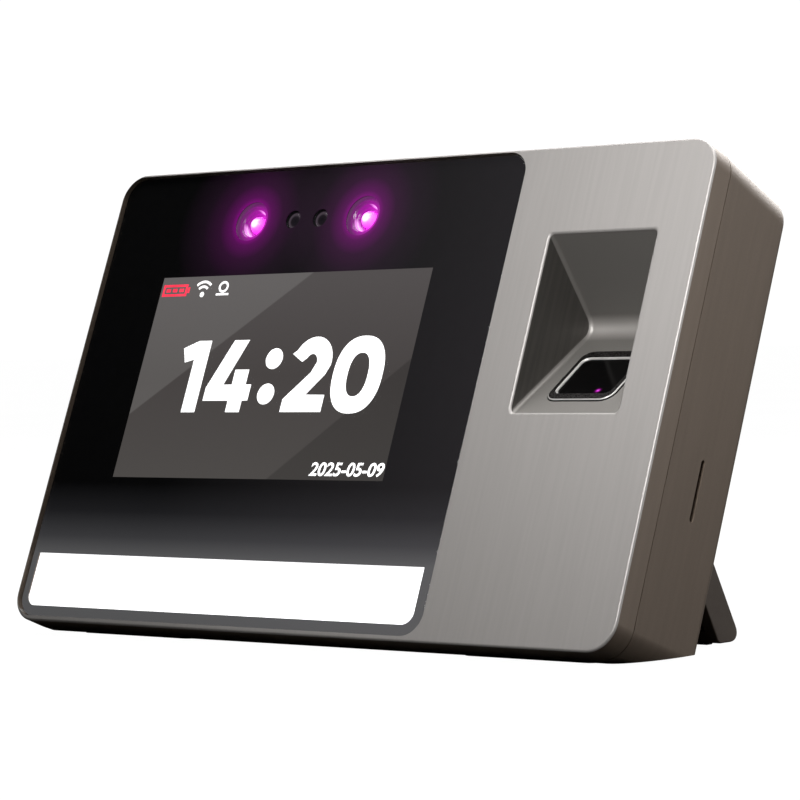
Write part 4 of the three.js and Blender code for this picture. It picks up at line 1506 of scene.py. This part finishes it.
@dataclass
class Sensor:
    """The fingerprint sensor on the ledge of the well; v runs up the ledge."""

    ledge: Bench
    finishes: Finishes
    u: Span = (159.5, 179.3)
    v: Span = (6.4, 27.5)
    radius: float = 3.4
    glass_u: Span = (161.45, 177.35)
    glass_v: Span = (9.45, 24.0)
    glass_radius: float = 1.8
    spot: Span = (173.2, 10.8)

    def seat(self) -> Work:
        """The tool that cuts the sensor's seat in the ledge."""
        gap = 0.25
        u, v = ((span[0] - gap, span[1] + gap) for span in (self.u, self.v))
        return rounded_slab("sensor_seat", u, (-2, 3.6), v, self.radius + gap)

    def build(self) -> None:
        """Models the bezel and the glass and dresses them."""
        bezel = rounded_slab("sensor_bezel", self.u, (-0.5, 2.6), self.v, self.radius, 12)
        bezel.bevel(at_depth(-0.5), 0.45, 4)
        u = (self.glass_u[0] - 0.15, self.glass_u[1] + 0.15)
        v = (self.glass_v[0] - 0.15, self.glass_v[1] + 0.15)
        window = rounded_slab("bezel_window", u, (0.0, 4.0), v, self.glass_radius + 0.15, 8)
        steps = [(-0.25, 0.12), (-0.5, 0.4), (-1.5, 0.4)]
        size, middle = (u[1] - u[0], v[1] - v[0]), (sum(u) / 2, sum(v) / 2)
        bezel.cut(window.grow_face(lambda c, n: n.y < -0.9, steps, size, middle))
        bezel.fit(self.ledge, Slot.GUNMETAL, self.finishes.gunmetal(), "fingerprint_bezel")
        outward = self.ledge.matrix.to_3x3() @ Vector((0, -1, 0))
        # the bezel's sloped faces take the painted highlight
        bezel.paint(self.finishes.chamfer_highlight(), lambda centre, normal: 0.25 < normal.dot(outward) < 0.97)
        glass = rounded_slab("sensor_glass", self.glass_u, (0.0, 2.2), self.glass_v, self.glass_radius, 8)
        glass.bevel(at_depth(0), 0.25, 3)
        # the black glass carries a painted glow: a pink spot where the lamp beneath would shine through
        black_painted_glow = SpotGlow(
            "sensor_black_painted_glow", (4, 4, 5), (2, 2, 2), self.ledge, rough=(0.08, 0.14), specular=0.12, relief=0.0,
            centre=(self.spot[0], 0, self.spot[1]), reach=1.3, strength=1.0,
            stops=((0.0, (255, 120, 250)), (0.3, (190, 30, 185)), (0.6, (60, 6, 58)), (1.0, (0, 0, 0))),
        )
        glass.fit(self.ledge, Slot.PLATEN, black_painted_glow, "fingerprint_glass")


@dataclass
class Stand:
    """The folding leg; v runs up the leg from its hinge, and d out of its back."""

    leg: Bench
    finishes: Finishes
    u: Span = (12.0, 186.0)
    thick: float = 4.15
    toe: float = -36.64
    heel: float = -41.28
    skin: float = 1.75
    sole_turn: float = -29.17

    def sole(self) -> Bench:
        """The bench along the sole, level with the desk."""
        return self.leg.child((0, -self.thick, self.toe), self.sole_turn)

    def foot(self, d: float) -> float:
        """The height of the sole at a depth."""
        return self.toe + (self.heel - self.toe) * (d + self.thick) / (2 * self.thick)

    def pocket(self, u: Span) -> Work:
        """The tool that cuts one of the hollows in the leg's inner side."""
        near = -self.thick - 2
        tool = Work.block("pocket", u, (near, self.skin), (self.foot(near) + 3.4, -self.thick - 1))
        with tool.editing("EDGE"):
            low = self.foot(near) + 3.4
            tool.pick_edges(lambda a, b: min(a.y, b.y) > self.skin - 0.1 and max(a.z, b.z) < low + 0.1)
            drop = (self.foot(self.skin) - self.foot(near)) * MM
            bpy.ops.transform.translate(value=(0, 0, drop))
        return tool.bevel(lambda a, b: min(a.y, b.y) > self.skin - 0.1, 1.0, 4)

    def build(self) -> None:
        """Models the leg and its pad and dresses them."""
        leg = Work.block("folding_leg", self.u, (-self.thick, self.thick), (self.toe, self.thick))
        with leg.editing("EDGE"):
            leg.pick_edges(lambda a, b: min(a.y, b.y) > 4 and max(a.z, b.z) < -30)
            bpy.ops.transform.translate(value=(0, 0, (self.heel - self.toe) * MM))
        leg.bevel(lambda a, b: min(a.z, b.z) > 4, self.thick * 0.99, 10)
        leg.bevel(lambda a, b: abs(a.x - b.x) > 100 and min(a.y, b.y) > 4 and max(a.z, b.z) < -30, 4.4, 8)
        leg.bevel(lambda a, b: abs(a.x - b.x) > 100 and max(a.y, b.y) < -4 and max(a.z, b.z) < -30, 0.8, 3)

        def at_end(a: Vector, b: Vector) -> bool:
            """True on the edges round the leg's two ends."""
            return abs(a.x - b.x) < 0.01 and min(abs(a.x - end) for end in self.u) < 0.01

        leg.bevel(at_end, 0.35, 3)
        pitch = (self.u[1] - self.u[0] - 4) / 3
        for i in range(3):
            start = self.u[0] + 3 + i * pitch
            leg.cut(self.pocket((start, start + pitch - 2)))
        leg.cut(
            Work.crossbar("bore_left", (self.u[0] - 1, self.u[0] + 5.5), (0, 0), 1.6),
            Work.crossbar("bore_right", (self.u[1] - 5.5, self.u[1] + 1), (0, 0), 1.6),
        )
        sole = self.sole()
        groove = Work.block("groove", (self.u[0] + 4, self.u[1] - 4), (0.7, 3.6), (-2.0, 0.6))
        leg.cut(groove.moved(sole.seen_from(self.leg)))
        # the leg takes the casing's paint with painted shade
        leg.fit(self.leg, Slot.TAUPE, self.finishes.leg_painted_shade(), "stand_flap", body=Body.STAND)
        pad = Work.block("leg_pad", (self.u[0] + 4.3, self.u[1] - 4.3), (1.0, 3.3), (-0.602, 0.3))
        pad.bevel(lambda a, b: max(a.z, b.z) < -0.5, 0.25, 3)
        pad.fit(sole, Slot.RUBBER, self.finishes.rubber(), "stand_foot_pad", body=Body.STAND)


@dataclass
class BackFittings:
    """Ports, key, screws and foot pads."""

    face: Bench
    finishes: Finishes

    def jack(self) -> None:
        """The power jack with its pin."""
        u, v = CASE.jack
        jack = Work.block("jack_socket", (u - 4.5, u + 4.5), (22.2, 33.3), (v - 5, v + 5))
        jack.bevel(lambda a, b: True, 0.3, 2)
        jack.join(Work.turned("barrel", (u, v), [(4.1, 33), (4.1, 35.5), (3.8, 35.8), (0, 35.8)], 48))
        jack.cut(Work.turned("bore", (u, v), [(3.1, 26.5), (3.1, 35.4), (3.5, 35.8), (3.5, 38)], 48))
        jack.join(Work.turned("pin", (u, v), [(0.95, 26), (0.95, 34.4), (0.6, 34.8), (0, 34.8)], 24))
        jack.fit(self.face, Slot.BLACK_PLASTIC, self.finishes.plastic(), "power_jack")

    def usb(self) -> None:
        """The data port with its tongue."""
        u, v = CASE.data_port
        port = rounded_slab("data_port", (u - 6.6, u + 6.6), (22.2, 35.8), (v - 2.9, v + 2.9), 0.6, 3)
        port.cut(rounded_slab("mouth", (u - 6.1, u + 6.1), (26, 38), (v - 2.4, v + 2.4), 0.3, 3))
        port.join(rounded_slab("tongue", (u - 5.5, u + 5.5), (25, 34.8), (v - 0.2, v + 1.6), 0.2, 2))
        port.fit(self.face, Slot.STEEL, self.finishes.steel(), "usb_port")

    def key(self) -> None:
        """The power key with its dished cap."""
        cap = [
            (3.7, 32.2), (3.7, 33.2), (2.8, 33.2), (2.8, 35.8), (2.6, 36.1), (2.3, 36.2), (1.6, 36.05),
            (0, 36.0),
        ]
        key = Work.turned("key_cap", CASE.key, cap, 40)
        key.fit(self.face, Slot.BLACK_PLASTIC, self.finishes.plastic(), "power_key", body=Body.KEY)

    def screw(self) -> Work:
        """One case screw, with its seat at depth 0."""
        shank = [
            (0.5, -20.2), (1.15, -19.0), (1.15, 0.2), (2.6, 0.2), (2.6, 1.3), (2.3, 1.8), (1.6, 2.0),
            (0, 2.02),
        ]
        screw = Work.turned("screw", (0.0, 0.0), shank, 32)
        screw.cut(
            Work.block("slot", (-1.56, 1.56), (0.8, 3), (-0.34, 0.34)),
            Work.block("slot", (-0.34, 0.34), (0.8, 3), (-1.56, 1.56)),
        )
        return screw

    def build(self) -> None:
        """Models the fittings and dresses them."""
        self.jack()
        self.usb()
        self.key()
        master = self.screw()
        for i, (u, v, seat) in enumerate(CASE.screws, 1):
            screw = master.copied(f"housing_screw_{i}", u, seat, v)
            screw.fit(self.face, Slot.STEEL, self.finishes.steel(), f"case_screw_{i}")
        master.discard()
        level = self.face.child((0, 0, 0), CASE.lean)
        pad = Work.block("desk_pad", (0, CASE.pad_length), (12.5, 23.5), (-4.107, -3.205))
        pad.bevel(running(2, 0.1), 2.5, 8)
        pad.bevel(lambda a, b: max(a.z, b.z) < -4.1, 0.25, 3)
        for left, hand in zip(CASE.pads, HANDS):
            placed = pad.copied(f"desk_pad_{hand}", left)
            placed.fit(level, Slot.RUBBER, self.finishes.rubber(), f"foot_pad_{hand}")
        pad.discard()


@dataclass
class Inside:
    """The frame's own inner pieces, which keep their shape and get a real finish."""

    finishes: Finishes

    def build(self) -> None:
        """Dresses every node that no other piece stands for."""
        lit = Glow("sensor_light", (255, 110, 250), (230, 60, 225), self.finishes.ledge)
        kinds: dict[str, tuple[Finish, Slot]] = {
            "board": (self.finishes.board(), Slot.BOARD),
            "screw": (self.finishes.steel(), Slot.STEEL),
            "can": (self.finishes.steel(), Slot.STEEL),
            "backlight": (self.finishes.steel(), Slot.STEEL),
            "pin": (self.finishes.steel(), Slot.STEEL),
            "washer": (self.finishes.plastic(), Slot.BLACK_PLASTIC),
            "gasket": (self.finishes.foam(), Slot.FOAM),
            "speaker": (self.finishes.plastic(), Slot.BLACK_PLASTIC),
            "switch": (self.finishes.plastic(), Slot.BLACK_PLASTIC),
            "module": (self.finishes.plastic(), Slot.BLACK_PLASTIC),
            "pack": (self.finishes.battery(), Slot.BATTERY),
            "ribbon": (self.finishes.flex(), Slot.FLEX),
            "antenna": (self.finishes.flex(), Slot.FLEX),
            "cable": (self.finishes.cable(), Slot.CABLE),
            "lead": (self.finishes.cable(), Slot.CABLE),
            "lamp": (lit, Slot.INFRARED),
        }
        for name, node in frame["nodes"].items():
            if node.hide_render:
                continue
            words = [word for word in name.split("_") if word in kinds]
            finish, slot = kinds[words[-1]]
            node.data.materials.clear()
            node.data.materials.append(finish.material())
            log.info("%s: kept, finished as %s", name, finish.name)


# ---------------------------------------------------------------- studio


@dataclass
class Studio:
    """Camera, floor and soft lights."""

    eye: Vector = field(default_factory=lambda: Vector((535.9, -628.0, 76.1)) * MM)
    right: Vector = field(default_factory=lambda: Vector((0.7634, 0.6456, -0.0209)))
    up: Vector = field(default_factory=lambda: Vector((0.0039, 0.0277, 0.9996)))
    lens: float = 145.6

    def camera(self) -> None:
        """Sets up the camera."""
        data = bpy.data.cameras.new("camera")
        data.lens = self.lens
        data.sensor_width = 36.0
        data.clip_start = 0.01
        camera = bpy.data.objects.new("camera", data)
        bpy.context.scene.collection.objects.link(camera)
        back = self.right.cross(self.up)
        turn = Matrix((self.right, self.up, back)).transposed().to_4x4()
        camera.matrix_world = Matrix.Translation(self.eye) @ turn
        bpy.context.scene.camera = camera

    def floor(self) -> None:
        """Lays the pale floor."""
        bpy.ops.object.select_all(action="DESELECT")
        bpy.ops.mesh.primitive_plane_add(size=30, location=(0, 0, -0.0001))
        floor = bpy.context.object
        floor.name = "floor"
        recipe = Recipe("pale_floor")
        place = recipe.node("TexCoord", {}).outputs["Object"]
        cloud = recipe.noise(place, 3.0)
        bounce = recipe.ramp(cloud, (0.3, (60, 59, 58)), (0.7, (64, 63, 62)))
        recipe.surface(Base_Color=bounce, Roughness=0.9)
        recipe.surface(Emission_Color=recipe.ramp(cloud, (0.3, (254, 254, 254)), (0.7, (255, 255, 255))))
        recipe.surface(Emission_Strength=recipe.node("LightPath", {}).outputs["Is Camera Ray"])
        recipe.feed(recipe.shader, "Specular IOR Level", 0.0)
        floor.data.materials.append(recipe.material)

    def light(
        self, name: str, place: Place, aim: Place, size: float, power: float, spread: float = 180.0
    ) -> None:
        """Hangs a soft light.

        Args:
            name: the light's name.
            place: where it hangs, in metres.
            aim: what it points at.
            size: its width and its height.
            power: its power in watts.
            spread: how wide its light opens, in degrees.
        """
        data = bpy.data.lights.new(name, "AREA")
        data.spread = math.radians(spread)
        data.shape = "RECTANGLE"
        data.size, data.size_y = size, size
        data.energy = power
        lamp = bpy.data.objects.new(name, data)
        bpy.context.scene.collection.objects.link(lamp)
        turn = (Vector(aim) - Vector(place)).to_track_quat("-Z", "Y")
        lamp.matrix_world = Matrix.Translation(place) @ turn.to_matrix().to_4x4()

    def world(self) -> None:
        """White surroundings that light the terminal only softly."""
        world = bpy.data.worlds.new("studio")
        world.use_nodes = True
        tree = world.node_tree
        soft = tree.nodes["Background"]
        soft.inputs["Color"].default_value = (0.98, 0.99, 1.0, 1.0)
        soft.inputs["Strength"].default_value = 0.012
        seen = tree.nodes.new("ShaderNodeBackground")
        seen.inputs["Color"].default_value = (1.0, 1.0, 1.0, 1.0)
        seen.inputs["Strength"].default_value = 1.05
        path = tree.nodes.new("ShaderNodeLightPath")
        mix = tree.nodes.new("ShaderNodeMixShader")
        tree.links.new(path.outputs["Is Camera Ray"], mix.inputs[0])
        tree.links.new(soft.outputs[0], mix.inputs[1])
        tree.links.new(seen.outputs[0], mix.inputs[2])
        tree.links.new(mix.outputs[0], tree.nodes["World Output"].inputs["Surface"])
        bpy.context.scene.world = world

    def build(self) -> None:
        """Sets up the whole studio."""
        self.camera()
        self.floor()
        self.world()
        self.light("above", (0.0, 0.1, 0.9), (0.0, 0.0, 0.06), 0.8, 10.5)
        self.light("behind", (-0.1, 1.0, 0.6), (0.0, 0.0, 0.06), 0.8, 12.5)
        self.light("near", (0.20, -0.34, 0.30), (0.11, 0.02, 0.11), 0.14, 0.21, 55.0)
        self.light("low_side", (0.9, 0.6, 0.15), (0.1, 0.0, 0.06), 0.4, 2.1)
        bpy.context.scene.view_settings.view_transform = "Standard"


# ---------------------------------------------------------------- main


def main() -> None:
    """Builds the terminal and its studio."""
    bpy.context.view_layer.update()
    face = face_bench()
    ledge = face.child((0, 0, CASE.ledge_foot), -math.degrees(math.atan(1 / CASE.ledge_slope)))
    leg = face.child((0, *CASE.hinge), math.degrees(math.asin(CASE.hinge_sine)))
    finishes = Finishes(face, ledge, leg)
    Studio().build()
    display = DisplaySide(face, finishes)
    eyes = EyeRow(face, finishes)
    sensor = Sensor(ledge, finishes)
    FaceShell(face, ledge, finishes).build(sensor.seat(), display, eyes)
    BackShell(face, finishes).build()
    display.build(eyes)
    ScreenPicture(face).build()
    eyes.build()
    sensor.build()
    Stand(leg, finishes).build()
    BackFittings(face, finishes).build()
    Inside(finishes).build()


if __name__ == "__main__":
    logging.basicConfig(level=logging.INFO, format="%(name)s: %(message)s")
    main()
